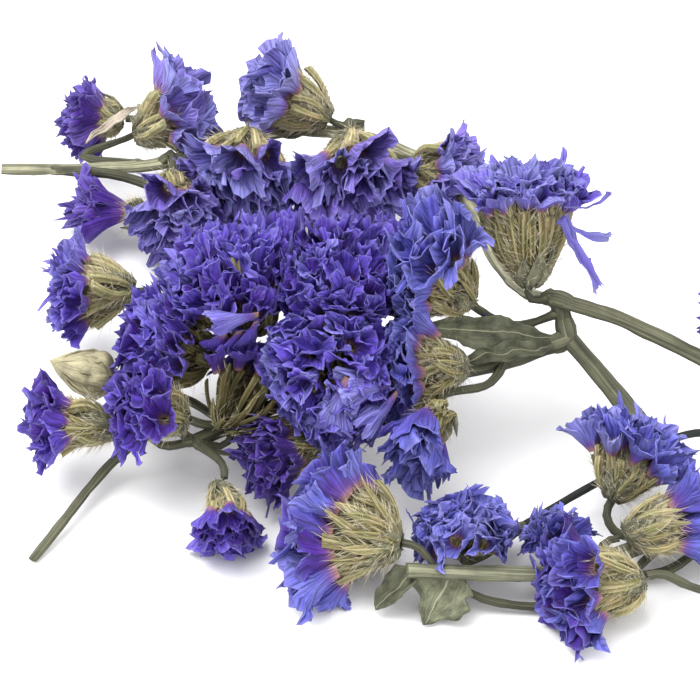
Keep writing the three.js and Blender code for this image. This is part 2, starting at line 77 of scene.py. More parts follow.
# Flower heads, as in the part's source: where the foot is, the way the head faces, its reach,
# the lean of its outermost calyces in degrees, and how many calyces the solid shows
Head = namedtuple("Head", "foot faces reach fan calyces")
HEADS = {
    "crown": Head((19.5, 2, 19.5), (-0.05, 0.3, 0.95), 14.5, 34, 8),
    "flank": Head((13, 1, 17.8), (-0.7, -0.05, 0.7), 13, 44, 9),
    "drape": Head((12.5, -4.5, 13), (-0.92, -0.25, 0.3), 12, 40, 8),
    "cascade": Head((9.6, -9.5, 12), (-0.33, -0.94, -0.07), 12, 40, 8),
    "mass_rear_left": Head((-12, 3, 12), (-0.1, 0.1, 0.98), 14.5, 54, 11),
    "mass_rear_right": Head((-1, 1.5, 13), (0.05, 0.1, 0.98), 14.5, 54, 11),
    "mass_left": Head((-15, 0.5, 10.5), (-0.85, -0.1, 0.5), 12.5, 50, 9),
    "mass_front": Head((-2, -2.5, 10.5), (0, -0.72, 0.68), 13.5, 54, 11),
    "mass_low": Head((-13, -8, 6.5), (0.5, 0.1, 0.82), 12, 46, 8),
    "west": Head((-24.5, 14.5, 9.2), (-0.99, -0.05, 0.08), 12, 37, 7),
    "west_low": Head((-24.4, -7.6, 7.6), (-0.99, -0.05, 0.12), 12.3, 29, 6),
    "knot": Head((-17.4, -8, 8.6), (-0.8, -0.2, 0.54), 10.8, 42, 7),
    "shade": Head((-1, -8.7, 7.9), (-0.95, -0.3, -0.05), 12, 35, 7),
    "dangle": Head((-13.5, -15, 6.2), (0.1, -0.95, -0.3), 9.4, 27, 6),
    "broad": Head((5.6, -26.5, 7.1), (-0.92, 0.36, 0), 13.8, 46, 9),
    "low_front": Head((12, -23.2, 3), (-0.05, 0, 0.99), 8.6, 68, 9),
    "right_inner": Head((21.8, -24, 2.4), (0, 0.1, 0.99), 6.5, 54, 7),
    "right_under": Head((31, -29, 4.7), (-0.98, -0.18, 0), 12.3, 34, 7),
    "right_upper": Head((28, -18.3, 6), (0.4, 0.4, 0.8), 10.5, 48, 8),
    "right_outer": Head((28.4, -24.5, 6), (0.95, 0.1, 0.3), 11.5, 34, 6),
    "far_right": Head((43, -4, 13), (0.15, 0.85, 0.3), 10, 42, 7),
    "back_tip": Head((-27.5, 50.5, 8.6), (-0.99, 0, 0.05), 9.8, 40, 7),
    "back_high": Head((-26.5, 47, 8.5), (0.92, 0.15, 0.36), 11, 38, 7),
    "back_crest": Head((-2.5, 46.5, 11.2), (-0.88, 0.2, 0.42), 11.5, 32, 7),
    "back_row": Head((-12, 43, 12.2), (-0.15, -0.9, -0.4), 11.5, 44, 8),
    "back_row_right": Head((0, 42, 12.2), (0.1, -0.9, -0.4), 11.5, 44, 8),
    "back_hang": Head((-21, 39, 8.5), (0.15, -0.95, -0.25), 11, 38, 7),
    "back_low": Head((-23.5, 35.5, 5), (-0.98, 0.05, 0.05), 10.5, 28, 7),
    "back_right": Head((6.2, 38.5, 10), (0.93, -0.3, -0.1), 10, 38, 7),
}
# The back heads and the shade head get a duller, more violet paper that stands in for the shade they
# lie in: painted shade
SHADED_HEADS = {name for name, head in HEADS.items() if head.foot[1] > 30} | {"shade"}

# The reach of a head whose florets are full-grown
FULL_REACH = 13.0

# How a head has dried: how pale its tubes and its frills are, from about 0 to about 1, the low
# values of the shade head being painted shade; its spread sideways and the other way; how far its
# tubes run before they open; how wide and long its frills are; how many it has for each calyx of
# the solid; how much they are crumpled; how far they hang; and the side where it has none, so that
# its tubes show
Habit = namedtuple(
    "Habit",
    "tubes frills spread start bloom crowding crumple hang bare",
    defaults=((1.0, 1.0), 1.0, (1.0, 1.0), 2.4, 1.0, 0.0, None),
)
TOWARDS_FRONT = (0, -0.79, 0.61)
HABITS = {
    "crown": Habit(
        0.3, 0.8, (0.8, 0.4), start=1.2, bloom=(0.8, 0.8), crowding=3.2, crumple=1.1, hang=-0.45
    ),
    "flank": Habit(
        0.45, 0.6, bloom=(1.1, 1.2), crowding=3, crumple=0.8, hang=0.2, bare=(0.6, -0.8, 0)
    ),
    "drape": Habit(
        0.5, 0.6, bloom=(1.15, 1.3), crowding=3, crumple=0.8, hang=-0.1, bare=(0.5, -0.6, 0.4)
    ),
    "cascade": Habit(
        0.5, 0.45, (0.9, 1.3), 0.5, (0.85, 1.35), crumple=1.5, hang=0.6, bare=(0.9, -0.2, 0.1)
    ),
    "mass_rear_left": Habit(0.4, 0.37, bloom=(0.66, 0.85), crowding=4.6, hang=0.15, crumple=1.2),
    "mass_rear_right": Habit(0.4, 0.42, bloom=(0.66, 0.85), crowding=4.6, hang=0.15, crumple=1.2),
    "mass_front": Habit(0.4, 0.6, bloom=(0.76, 0.98), crowding=4, crumple=1.4, hang=0.35),
    "mass_left": Habit(-0.1, 0.3, bloom=(0.72, 0.85), crowding=3.8, crumple=1.2),
    "mass_low": Habit(
        -0.3, 0.3, (2.2, 1.3), 1.15, (0.85, 0.9), crowding=2.6, crumple=1.3, bare=(-0.2, -0.75, 0.2)
    ),
    "west": Habit(0.65, 0.65, bloom=(0.8, 0.75), crowding=2.8),
    "west_low": Habit(0.3, 0.15, spread=(0.75, 0.75), bloom=(0.75, 0.85), crowding=3, crumple=1.2),
    "knot": Habit(0.3, 0.15, spread=(0.85, 0.85), bloom=(0.85, 0.9), crowding=2.8),
    # Painted shade: low tones darken this head, which lies in shade below the mass
    "shade": Habit(0.1, -0.1, bloom=(1.05, 1.1), crowding=3, crumple=1.2, hang=-0.35),
    "dangle": Habit(0.8, 0.25, bloom=(1.15, 1.0), crowding=2.6, hang=0.5),
    "broad": Habit(0.45, 0.3, bloom=(1.08, 0.92), crowding=3.6, crumple=1.1, bare=TOWARDS_FRONT),
    "low_front": Habit(0.5, 0.6, (2.0, 0.6), start=0.85, bloom=(1.2, 0.8), crowding=3.8, hang=-0.45),
    "right_inner": Habit(0.5, 0.5, start=0.6, bloom=(1.4, 1.3), crumple=0.8),
    "right_under": Habit(0.5, 0.2, bloom=(1.1, 1.1), crowding=1.8, crumple=1.1),
    "right_upper": Habit(
        0.65, 0.65, (1.2, 0.7), bloom=(1.1, 1.1), crumple=0.9, bare=(-0.2, -0.9, 0.1)
    ),
    "right_outer": Habit(0.9, 0.6, bare=TOWARDS_FRONT),
    "far_right": Habit(0.5, 0.5),
    "back_tip": Habit(0.8, 0.15, spread=(0.7, 1.0), start=0.6, bloom=(0.9, 1.25), crumple=0.5),
    "back_high": Habit(0.9, 0.9, bloom=(1.2, 1.15), crowding=1.8, crumple=0.4, bare=(-0.75, 0, 0.66)),
    "back_crest": Habit(0.95, 1.05, bloom=(1.2, 1.15), crowding=1.8, crumple=0.4),
    "back_row": Habit(0.9, 0.7, bloom=(1.05, 1.5), crowding=2.8),
    "back_row_right": Habit(0.9, 0.65, bloom=(1.05, 1.5), crowding=2.8),
    "back_hang": Habit(0.9, 0.7, bloom=(1.05, 1.2)),
    "back_low": Habit(0.7, -0.1, (0.45, 0.12), start=0.5, bloom=(0.9, 1.8), crowding=2, crumple=0.5),
    "back_right": Habit(0.85, 0.7),
}
# From this cosine to its bare side on, a floret has a shut tube and no frill
BARE_FROM = 0.12
BLUE_HEADS = {name for name in HEADS if name.startswith("right")} | {
    "broad", "low_front", "cascade", "flank", "drape",
}
# Heads whose tubes are nearly smooth, and the share of the hairs that they keep
FEW_HAIRS = {name for name in HEADS if name.startswith("mass")} | {"cascade", "low_front"}
FEW_HAIRS_SHARE = 0.2

# Torn straps of frill that hang free: where each starts, the way it runs, and its length
Strap = namedtuple("Strap", "at way long")
STRAPS = {
    "crown": (
        Strap((22.2, 1, 29), (0.85, -0.2, -0.35), 6),
        Strap((22.5, 0.3, 29.2), (0.48, -0.2, -0.85), 8.4),
        Strap((23.2, 0.8, 29.6), (0.3, -0.2, -0.95), 6.2),
        Strap((22.8, 1.5, 30), (0.95, 0.1, 0.05), 5),
    ),
    "flank": (Strap((14.5, 0, 17), (0.5, -0.4, -0.75), 5),),
    "low_front": (Strap((6.5, -24, 7), (-0.7, 0.1, 0.6), 4.5),),
}

# Single frills that lie open across their neighbours: where each starts, the way it opens, its
# width and its length next to the fan form's, and how much paler it is than the head's frills
Fan = namedtuple("Fan", "at way size paler")
FANS = {
    "mass_front": (
        Fan((-0.1, -10.8, 16.8), (-0.35, -0.35, -0.85), (0.65, 1.2), 0.35),
        Fan((4.8, -9.5, 15.1), (-0.95, -0.35, 0.1), (0.6, 1.2), 0.35),
        Fan((6.4, -10.6, 14.3), (-0.75, -0.4, -0.55), (0.65, 1.25), 0.3),
        Fan((-5.3, -9, 15), (0.1, -0.5, -0.85), (0.6, 1.1), 0.2),
    ),
    "mass_rear_left": (
        Fan((-9.2, -5.4, 20.2), (-0.95, -0.35, -0.05), (0.6, 1.1), 0.4),
        Fan((-9.2, -5.8, 19), (0.05, -0.45, -0.9), (0.55, 1.1), 0.35),
        Fan((-11.5, -5, 17.5), (-0.15, -0.45, -0.9), (0.75, 1.1), 0.1),
        Fan((-13.5, -4, 17), (-0.4, -0.45, -0.8), (0.7, 1.0), -0.2),
        Fan((-6.5, 9, 17), (0, 0.55, 0.85), (0.8, 1.1), -0.1),
        Fan((-8, 9, 17), (-0.3, 0.5, 0.85), (0.7, 1.0), 0.0),
    ),
    "mass_rear_right": (
        Fan((4.5, 7, 17.5), (0.25, 0.5, 0.85), (0.8, 1.1), -0.1),
        Fan((2.5, 8, 17.5), (-0.1, 0.5, 0.85), (0.7, 1.0), 0.1),
    ),
    "drape": (
        Fan((9.4, -4.2, 17.6), (-0.6, 0.1, 0.75), (1.0, 1.3), 0.1),
        Fan((6.6, -5, 18.4), (-0.95, 0.1, 0.35), (0.9, 1.2), -0.1),
        Fan((8, -4.5, 17.8), (-0.95, -0.2, 0.35), (0.9, 1.3), 0.1),
    ),
    "back_row_right": (Fan((-4, 36, 11), (-0.35, -0.9, -0.15), (1.0, 1.5), -0.2),),
}

Bud = namedtuple("Bud", "foot faces length radius")
BUD = Bud((-26.2, -0.2, 7.8), (-0.95, 0.15, 0.27), 7.3, 3)

# Stems along the paths of the part's source, the stub and the snapped one slimmer than there:
# whether the stem is winged, its radius at the two ends, and its path
Branch = namedtuple("Branch", "winged radius path")
BRANCHES = {
    "main": Branch(
        True, (1.4, 1.2), ((82, -13, 0.75), (64, -18, 0.85), (52, -22, 1.6), (43, -26, 2.2))
    ),
    "middle": Branch(
        True, (1.15, 1), ((43, -26, 2.2), (36, -14, 4.5), (30, -5, 8.5), (24, -0.5, 14))
    ),
    "rise": Branch(False, (0.95, 0.9), ((24, -0.5, 14), (23.2, 1, 16.5), (22.5, 1.5, 18))),
    "right": Branch(
        True, (0.9, 1), ((22, 1.5, 18), (28, -0.5, 17.3), (33, -1.7, 15.5), (38.5, -3.5, 13.5))
    ),
    "left": Branch(
        False,
        (0.95, 0.8),
        (
            (24, -0.5, 14), (17, -2.5, 12.5), (10, -2.5, 10.5), (2, -3, 8.5),
            (-6, -3.5, 8), (-13, -6, 6), (-17, -8.5, 6),
        ),
    ),
    "back": Branch(
        True,
        (0.85, 0.9),
        (
            (22, 1.5, 18), (20, 9, 13), (17, 21, 9), (15, 31, 8.5),
            (10, 39.5, 9), (1, 45.5, 9.5), (-6, 47.5, 9),
        ),
    ),
    "back_left": Branch(
        True,
        (0.9, 0.8),
        ((-6, 47.5, 9), (-15, 46.5, 8), (-23, 42.5, 7.5), (-34, 40.5, 8), (-42, 40.5, 8)),
    ),
    "back_fork": Branch(False, (0.65, 0.6), ((-36, 40.3, 8), (-28, 39.5, 7.8), (-19, 37, 5.8))),
    "front": Branch(
        True,
        (0.95, 0.85),
        (
            (43, -26, 2.2), (38, -21.5, 2.8), (33.5, -21.5, 3), (27, -24.3, 3),
            (22, -26.8, 3.2), (14, -28, 4.2), (6, -29, 5.5),
        ),
    ),
    "wiry": Branch(
        False,
        (0.45, 0.42),
        ((62, -18.5, 1.8), (50, -11, 4.5), (38.5, -5.8, 5), (27, -13.8, 4.8), (18.5, -19, 3)),
    ),
    "stub": Branch(
        True, (0.5, 0.44), ((-17, -8.5, 6), (-20.5, -4.5, 4.8), (-25.5, -8.2, 3.4), (-34, -21.7, 0.4))
    ),
    "snapped": Branch(False, (0.3, 0.25), ((-17, -8.5, 6), (-15, -9.6, 5.6), (-12, -10, 5.4))),
}
PALE_STEMS = ("back", "back_left")

# Twigs, drawn a little slimmer than in the solid: their radius at the two ends, how long a twig runs
# straight under its head, where each leaves its branch, and what it passes on its way to its head
TWIG_RADIUS = (0.52, 0.42)
NECK = 1.6
TWIGS = {
    "crown": ((22.5, 1.5, 18),),
    "flank": ((23.2, 1, 16.5), (18, 0.8, 14.8)),
    "drape": ((17, -2.5, 12.5),),
    "cascade": ((17, -2.5, 12.5), (15, -6, 12)),
    "mass_rear_left": ((-6, -3.5, 8), (-11, -0.5, 9.5)),
    "mass_rear_right": ((3, -3, 8.8),),
    "mass_left": ((-6, -3.5, 8),),
    "mass_front": ((3, -3, 8.8), (1, -0.2, 9.8)),
    "mass_low": ((-17, -8.5, 6),),
    "west": ((-6, -3.5, 8), (-12, 8, 6.5)),
    "bud": ((-13, -6, 6), (-19, -1, 6.3)),
    "west_low": ((-17, -8.5, 6), (-20.5, -8.7, 5.6)),
    "knot": ((-13, -6, 6),),
    "shade": ((8, -2.6, 10), (5, -7.6, 7.9)),
    "dangle": ((-17, -8.5, 6),),
    "broad": ((33.5, -21.5, 3), (26, -28.5, 1.1), (15, -29.5, 1.6), (9.5, -28, 4.2)),
    "low_front": ((18.5, -19, 3), (15, -21, 1.2)),
    "right_inner": ((27, -24.3, 3), (24, -22.8, 1.2)),
    "right_under": ((43, -26, 2.2), (37, -29.5, 3.2)),
    "right_upper": ((33.5, -21.5, 3), (28.5, -20.5, 3.2)),
    "right_outer": ((38, -21.5, 2.8), (33.5, -24.6, 1.5), (26.2, -25.8, 3)),
    "far_right": ((38.5, -3.5, 13.5), (41, -6, 12.8)),
    "back_tip": ((-15, 46.5, 8), (-21, 51, 8)),
    "back_high": ((-25, 42, 7.6), (-32.5, 44.5, 7.2)),
    "back_crest": ((1, 45.5, 9.5), (1.5, 46.5, 10.8)),
    "back_row": ((-6, 47.5, 9), (-11, 45.5, 11.5)),
    "back_row_right": ((1, 45.5, 9.5), (0.2, 44.5, 11.5)),
    "back_hang": ((-23, 42.5, 7.5), (-21.5, 42.5, 9)),
    "back_low": ((-19, 37, 5.8),),
    "back_right": ((10, 39.5, 9), (4, 41, 9.8)),
}

# Leaves and bracts, within three millimetres of the part's source: root, tip, width, and the way
# the face looks; then how far along it is broadest, how much it folds along its midrib and how
# ragged its edge is. The pale strap is only drawn
Blade = namedtuple("Blade", "root tip width faces broadest cup ragged")
BLADES = {
    "pale_leaf": Blade((11, -28.2, 4.6), (7.8, -32, 0.5), 6.2, (0, -0.8, 0.6), 0.34, 0.35, 0.16),
    "dark_leaf": Blade((7, -28.5, 5.5), (2.8, -30.2, 1.4), 3.2, (-0.6, -0.6, 0.5), 0.45, 0.7, 0.05),
    "wide_bract": Blade((24, -0.8, 14.2), (8, -3.4, 18), 3.4, (0, -0.8, 0.6), 0.62, 0.5, 0.12),
    "thin_bract": Blade((23, -1.6, 13.6), (11.5, -4.2, 13.8), 2.2, (0, -0.6, 0.8), 0.5, 0.8, 0.08),
    "back_leaf": Blade((-20, 43.5, 8), (-26, 50, 11), 2.6, (0.3, -0.6, 0.7), 0.5, 0.4, 0.05),
    "pale_strap": Blade(
        (-25.5, 49.8, 11), (-31.8, 42.3, 10.6), 1.15, (0, -0.5, 0.85), 0.5, 0.5, 0.08
    ),
}
DARK_BLADES = {"dark_leaf", "wide_bract", "thin_bract"}


# Sizes and colours that a user would change


def length(name, description, default):
    return FloatProperty(
        name=name, description=description, default=default, min=0.0, unit="LENGTH", precision=5
    )


def colour(name, description, default):
    return FloatVectorProperty(
        name=name, description=description, default=default, min=0.0, max=1.0, subtype="COLOR"
    )


def number(name, description, default):
    return FloatProperty(name=name, description=description, default=default, min=0.0)


def power(name, description, default):
    return FloatProperty(
        name=name, description=description, default=default, min=0.0, unit="POWER"
    )


class StaticeFrillSettings(bpy.types.PropertyGroup):
    rim: length("Rim radius", "Radius of an open frill at the tips of its lobes", 3.8 * MM)
    depth: length("Frill length", "From the mouth of a calyx tube to the frill's margin", 5.2 * MM)
    paper: length("Paper thickness", "Thickness of the papery frill", 0.1 * MM)
    crumple: length("Crumple depth", "How far drying has crumpled the frills together", 1.1 * MM)
    crumple_width: length("Crumple width", "Distance from one crumple to the next", 1.5 * MM)
    lit: colour("Paper", "Blue-violet of the paper", (0.100, 0.057, 0.44))
    # Deep paper is also where the painted shade deep in a frill's funnel and on the shade head
    # darkens it
    deep: colour("Deep paper", "Violet of the paper that has kept its colour", (0.044, 0.009, 0.20))
    # Also the colour of the pale margins, which is partly painted highlight
    faded: colour("Faded paper", "Pale blue-violet of the paper that has faded", (0.205, 0.20, 0.51))
    # Painted shade: the duller violet that stands in for the shade on the back heads and the shade
    # head
    shaded: colour("Shaded paper", "Duller violet of the shaded heads", (0.15, 0.095, 0.43))
    blue: colour("Blue paper", "Bluer paper of the heads at the right", (0.085, 0.088, 0.41))
    throat: colour("Throat", "Magenta low in a frill", (0.13, 0.045, 0.24))
    foot: colour("Frill foot", "Warm straw where a frill leaves its tube", (0.36, 0.19, 0.14))


class StaticeCalyxSettings(bpy.types.PropertyGroup):
    mouth: length("Tube mouth", "Radius of a calyx tube where it opens", 0.62 * MM)
    hair_length: length("Hair length", "Length of the hairs on the tubes", 1.9 * MM)
    hair_width: length("Hair width", "Width of a hair at its root", 0.09 * MM)
    hairs: number("Hairs per square centimetre", "How thick the hairs stand", 260.0)
    rib: colour("Ribs", "Straw colour of the tubes' ribs", (0.365, 0.328, 0.172))
    furrow: colour("Furrows", "Olive brown between the ribs", (0.098, 0.083, 0.036))
    hair: colour("Hairs", "Pale straw of the hairs", (0.62, 0.56, 0.41))
    bract: colour("Bracts", "Grey-green of the bracts at a head's foot", (0.18, 0.18, 0.115))


class StaticeStemSettings(bpy.types.PropertyGroup):
    wing: number("Wing reach", "Half width over the wings, in radii of the stem", 1.25)
    body: number("Body depth", "Half thickness of the stem, in radii", 0.75)
    ridge: number("Ridge depth", "Depth of the lengthwise ridges, in radii", 0.07)
    dent: length("Dent depth", "How far drying has shrivelled the stems", 0.28 * MM)
    bark: colour("Stem", "Olive of the stems", (0.108, 0.108, 0.066))
    edge: colour("Stem edges", "Dark line along the wings", (0.035, 0.034, 0.018))
    front: colour("Front stem", "Yellower olive of the front stem", (0.17, 0.172, 0.112))
    pale: colour("Back stems", "Pale straw green of the back stems", (0.26, 0.255, 0.165))
    leaf: colour("Leaf", "Grey green of the dry leaves", (0.145, 0.152, 0.096))
    strap: colour("Dry strap", "Grey beige of the strap at the back", (0.42, 0.36, 0.29))
    bud: colour("Bud", "Pale straw of the bud's scales", (0.32, 0.29, 0.18))


class StaticeStageSettings(bpy.types.PropertyGroup):
    elevation: FloatProperty(
        name="Camera elevation",
        description="Angle of the view above the horizon",
        default=math.radians(38),
        subtype="ANGLE",
    )
    distance: length("Camera distance", "From the camera to the middle of the view", 0.36)
    field: length("Field width", "Width of the view at its middle", 0.077)
    floor: length("Floor size", "Side of the square floor", 3.0)
    key_light: power("Key light", "Power of the main light", 3.8)
    fill_light: power("Fill light", "Power of the light from the front", 1.2)
    sky: number("Sky light", "Strength of the light from all round", 1.35)


# Node trees


def feed(tree, socket, value):
    """Links a socket to another one, or sets it to a plain value."""
    if isinstance(value, bpy.types.NodeSocket):
        tree.links.new(value, socket)
    else:
        socket.default_value = value


def add(tree, kind, sockets=None, **settings):
    """A node with its settings, and its input sockets set or linked by name or place."""
    node = tree.nodes.new(kind)
    for name, value in settings.items():
        setattr(node, name, value)
    for name, value in (sockets or {}).items():
        feed(tree, node.inputs[name], value)
    return node


def math_node(tree, operation, *values):
    return add(tree, "ShaderNodeMath", dict(enumerate(values)), operation=operation).outputs[0]


def times(tree, *values):
    return math_node(tree, "MULTIPLY", *values)


def plus(tree, *values):
    return math_node(tree, "ADD", *values)


def vector_node(tree, operation, *values):
    names = (0, "Scale") if operation == "SCALE" else (0, 1)
    sockets = dict(zip(names, values))
    return add(tree, "ShaderNodeVectorMath", sockets, operation=operation).outputs["Vector"]


def together(tree, x, y, z):
    return add(tree, "ShaderNodeCombineXYZ", {"X": x, "Y": y, "Z": z}).outputs[0]


def group(name, inputs):
    """A geometry node tree with named inputs: its input and output nodes."""
    tree = bpy.data.node_groups.new(name, "GeometryNodeTree")
    tree.interface.new_socket("Geometry", in_out="INPUT", socket_type="NodeSocketGeometry")
    for label, kind in inputs.items():
        tree.interface.new_socket(label, in_out="INPUT", socket_type="NodeSocket" + kind)
    tree.interface.new_socket("Geometry", in_out="OUTPUT", socket_type="NodeSocketGeometry")
    return tree, tree.nodes.new("NodeGroupInput").outputs, tree.nodes.new("NodeGroupOutput").inputs


def named(tree, name, data_type="FLOAT_VECTOR"):
    node = add(tree, "GeometryNodeInputNamedAttribute", {"Name": name}, data_type=data_type)
    return node.outputs["Attribute"]


def stored(tree, geometry, name, value, data_type="FLOAT_VECTOR"):
    sockets = {"Geometry": geometry, "Name": name, "Value": value}
    node = add(tree, "GeometryNodeStoreNamedAttribute", sockets, data_type=data_type, domain="POINT")
    return node.outputs[0]


def forms_on_points(tree, points, collection):
    """Forms of a collection on points, each picked, turned and sized as its point says, and real."""
    sockets = {"Collection": collection, "Separate Children": True, "Reset Children": True}
    forms = add(tree, "GeometryNodeCollectionInfo", sockets)
    sockets = {
        "Points": points,
        "Instance": forms.outputs[0],
        "Pick Instance": True,
        "Instance Index": named(tree, "form", "INT"),
        "Rotation": named(tree, "turn"),
        "Scale": named(tree, "size"),
    }
    put = add(tree, "GeometryNodeInstanceOnPoints", sockets)
    return real(tree, put.outputs[0])


def real(tree, geometry):
    return add(tree, "GeometryNodeRealizeInstances", {"Geometry": geometry}).outputs[0]


def moved(tree, geometry, offset):
    sockets = {"Geometry": geometry, "Offset": offset}
    return add(tree, "GeometryNodeSetPosition", sockets).outputs[0]


def finished(tree, geometry, material, chosen=True):
    """The chosen faces of a geometry given their material."""
    sockets = {"Geometry": geometry, "Selection": chosen, "Material": material}
    return add(tree, "GeometryNodeSetMaterial", sockets).outputs[0]


def grow(carrier, tree, inputs):
    """The carrier's geometry put through a tree, as a plain mesh object of the same name."""
    modifier = carrier.modifiers.new("Grow", "NODES")
    modifier.node_group = tree
    for item in tree.interface.items_tree:
        if item.in_out == "INPUT" and item.name in inputs:
            modifier[item.identifier] = inputs[item.name]
    depsgraph = bpy.context.evaluated_depsgraph_get()
    mesh = bpy.data.meshes.new_from_object(carrier.evaluated_get(depsgraph), depsgraph=depsgraph)
    name = carrier.name
    carrier.modifiers.clear()
    bpy.data.objects.remove(carrier)
    return placed_object(name, mesh)


# Meshes

# How many waves crossing each other crumple a sheet, what brings the arcsine of a wave to one, and
# what brings all of them together to about one
CREASES = 5
ARCSINE_SCALE = 0.64
CREASES_SUM = 2.2


def placed_object(name, data):
    made = bpy.data.objects.new(name, data)
    bpy.context.scene.collection.objects.link(made)
    return made


def mesh_of(name, points, faces, corners=None, values=None):
    """A mesh in metres from points in millimetres, with a map from corners and number values."""
    mesh = bpy.data.meshes.new(name)
    mesh.from_pydata(np.asarray(points) * MM, [], faces)
    if corners is not None:
        mesh.uv_layers.new(name=MAP_NAME).uv.foreach_set("vector", np.ravel(corners))
    for label, (kind, numbers) in (values or {}).items():
        field = "vector" if kind == "FLOAT_VECTOR" else "value"
        mesh.attributes.new(label, kind, "POINT").data.foreach_set(field, np.ravel(numbers))
    mesh.shade_smooth()
    return mesh


def grid_quads(across, rows):
    """Quads of a grid, so many of them across, as (column, row) pairs."""
    places = [(i, j) for i in range(across) for j in range(rows - 1)]
    return [((i, j), (i + 1, j), (i + 1, j + 1), (i, j + 1)) for i, j in places]


def thick_sheet(grid, thickness, wrapped):
    """A closed sheet of paper from a grid of points: points, faces and the map's corners."""
    columns, rows = grid.shape[:2]
    if wrapped:
        across = np.roll(grid, -1, axis=0) - np.roll(grid, 1, axis=0)
    else:
        across = np.gradient(grid, axis=0)
    normal = np.cross(across, np.gradient(grid, axis=1))
    normal /= np.linalg.norm(normal, axis=2, keepdims=True) + 1e-9
    layers = [grid + normal * thickness / 2, grid - normal * thickness / 2]
    points = np.concatenate([layer.reshape(-1, 3) for layer in layers])
    last, top = (columns if wrapped else columns - 1), rows - 1
    quads = grid_quads(last, rows)
    cells = [[(0, i, j) for i, j in quad] for quad in quads]
    cells += [[(1, i, j) for i, j in reversed(quad)] for quad in quads]
    for i in range(last):
        cells.append([(0, i + 1, 0), (0, i, 0), (1, i, 0), (1, i + 1, 0)])
        cells.append([(0, i, top), (0, i + 1, top), (1, i + 1, top), (1, i, top)])
    if not wrapped:
        for j in range(top):
            cells.append([(0, 0, j), (0, 0, j + 1), (1, 0, j + 1), (1, 0, j)])
            cells.append([(0, last, j + 1), (0, last, j), (1, last, j), (1, last, j + 1)])
    faces = [[(layer * columns + i % columns) * rows + j for layer, i, j in cell] for cell in cells]
    corners = [(i / last, j / top) for cell in cells for _, i, j in cell]
    return points, faces, corners


def closed_tube(grid):
    """A wrapped grid closed by a cap at each end: points, faces and the map's corners."""
    columns, rows = grid.shape[:2]
    quads = grid_quads(columns, rows)
    faces = [[(i % columns) * rows + j for i, j in quad] for quad in quads]
    corners = [(i / columns, j / (rows - 1)) for quad in quads for i, j in quad]
    faces.append([i * rows for i in reversed(range(columns))])
    faces.append([i * rows + rows - 1 for i in range(columns)])
    corners += [(i / columns, 0) for i in reversed(range(columns))]
    corners += [(i / columns, 1) for i in range(columns)]
    return grid.reshape(-1, 3), faces, corners


def creased(points, width, depth, rng):
    """Sharp-folded waves that crumple points by up to a depth, a width apart."""
    offset = np.zeros_like(points)
    for _ in range(CREASES):
        way = rng.normal(size=3)
        push = rng.normal(size=3)
        wave = points @ (way / np.linalg.norm(way)) * FULL_TURN / width + rng.uniform(0, 6)
        fold = np.arcsin(np.sin(wave))[..., None] * push / np.linalg.norm(push)
        offset += fold * ARCSINE_SCALE / CREASES_SUM
    return points + offset * depth


def reshape(mesh, change, *details):
    """Moves a mesh's points, in millimetres, to where a function of them puts them."""
    points = np.empty(len(mesh.vertices) * 3, np.float32)
    mesh.vertices.foreach_get("co", points)
    points = change(points.reshape(-1, 3).astype(float) / MM, *details)
    mesh.vertices.foreach_set("co", (points * MM).astype(np.float32).ravel())
    mesh.update()


# Places and ways, in millimetres

# A head's middle as a share of its reach from its foot, and the room it takes round that middle: a
# share of its reach, and what each degree of its fan adds to that share
HEAD_MIDDLE = 0.6
HEAD_ROOM = 0.45
ROOM_PER_DEGREE = 0.006
# How softly and how far a head is pressed back by a neighbour
PRESS_MARGIN = 2.5
PRESS_SHARE = 0.7
# How near the table heads, stems and leaves come before they are held back from it
HEAD_CLEARANCE = 0.8
STEM_CLEARANCE = 0.5
LEAF_CLEARANCE = 0.4


def unit(v):
    v = np.asarray(v, float)
    return v / np.linalg.norm(v)


def frame_at(faces):
    """The frame of a head, bud or blade: columns across, over and along its way."""
    axis = unit(faces)
    side = np.cross((0, 0, 1), axis)
    if np.linalg.norm(side) < 0.4:
        side = np.array((1.0, 0, 0)) - axis * axis[0]
    side = unit(side)
    return np.stack([side, np.cross(axis, side), axis], axis=1)


def turned_to(way, outward, spin=0.0):
    """A turn whose Z is a way, and whose X is the outward side turned about it by a spin."""
    z = unit(way)
    x = np.asarray(outward, float) - z * np.dot(outward, z)
    x = unit(x) if np.linalg.norm(x) > 1e-3 else unit(np.cross(z, (0.3, 0.5, 0.8)))
    y = np.cross(z, x)
    x, y = x * math.cos(spin) + y * math.sin(spin), y * math.cos(spin) - x * math.sin(spin)
    return np.stack([x, y, z], axis=1)


def curve_through(path, spacing):
    """Points evenly along a centripetal curve through a path, and their distances along it."""
    path = np.asarray(path, float)
    ends = [2 * path[0] - path[1], *path, 2 * path[-1] - path[-2]]
    fine = [path[:1]]
    for a, b, c, d in zip(ends, ends[1:], ends[2:], ends[3:]):
        steps = (b - a, c - b, d - c)
        before, here, after = (max(np.linalg.norm(step), 1e-6) ** 0.5 for step in steps)
        leave = ((b - a) / before - (c - a) / (before + here) + (c - b) / here) * here
        arrive = ((c - b) / here - (d - b) / (here + after) + (d - c) / after) * here
        t = np.linspace(0, 1, 41)[1:, None]
        bend = 2 * b - 2 * c + leave + arrive
        fine.append(b + leave * t + (3 * c - 3 * b - 2 * leave - arrive) * t**2 + bend * t**3)
    fine = np.concatenate(fine)
    along = np.concatenate([[0], np.cumsum(np.linalg.norm(np.diff(fine, axis=0), axis=1))])
    count = max(3, math.ceil(along[-1] / spacing) + 1)
    stations = np.linspace(0, along[-1], count)
    return np.stack([np.interp(stations, along, fine[:, k]) for k in range(3)], axis=1), stations


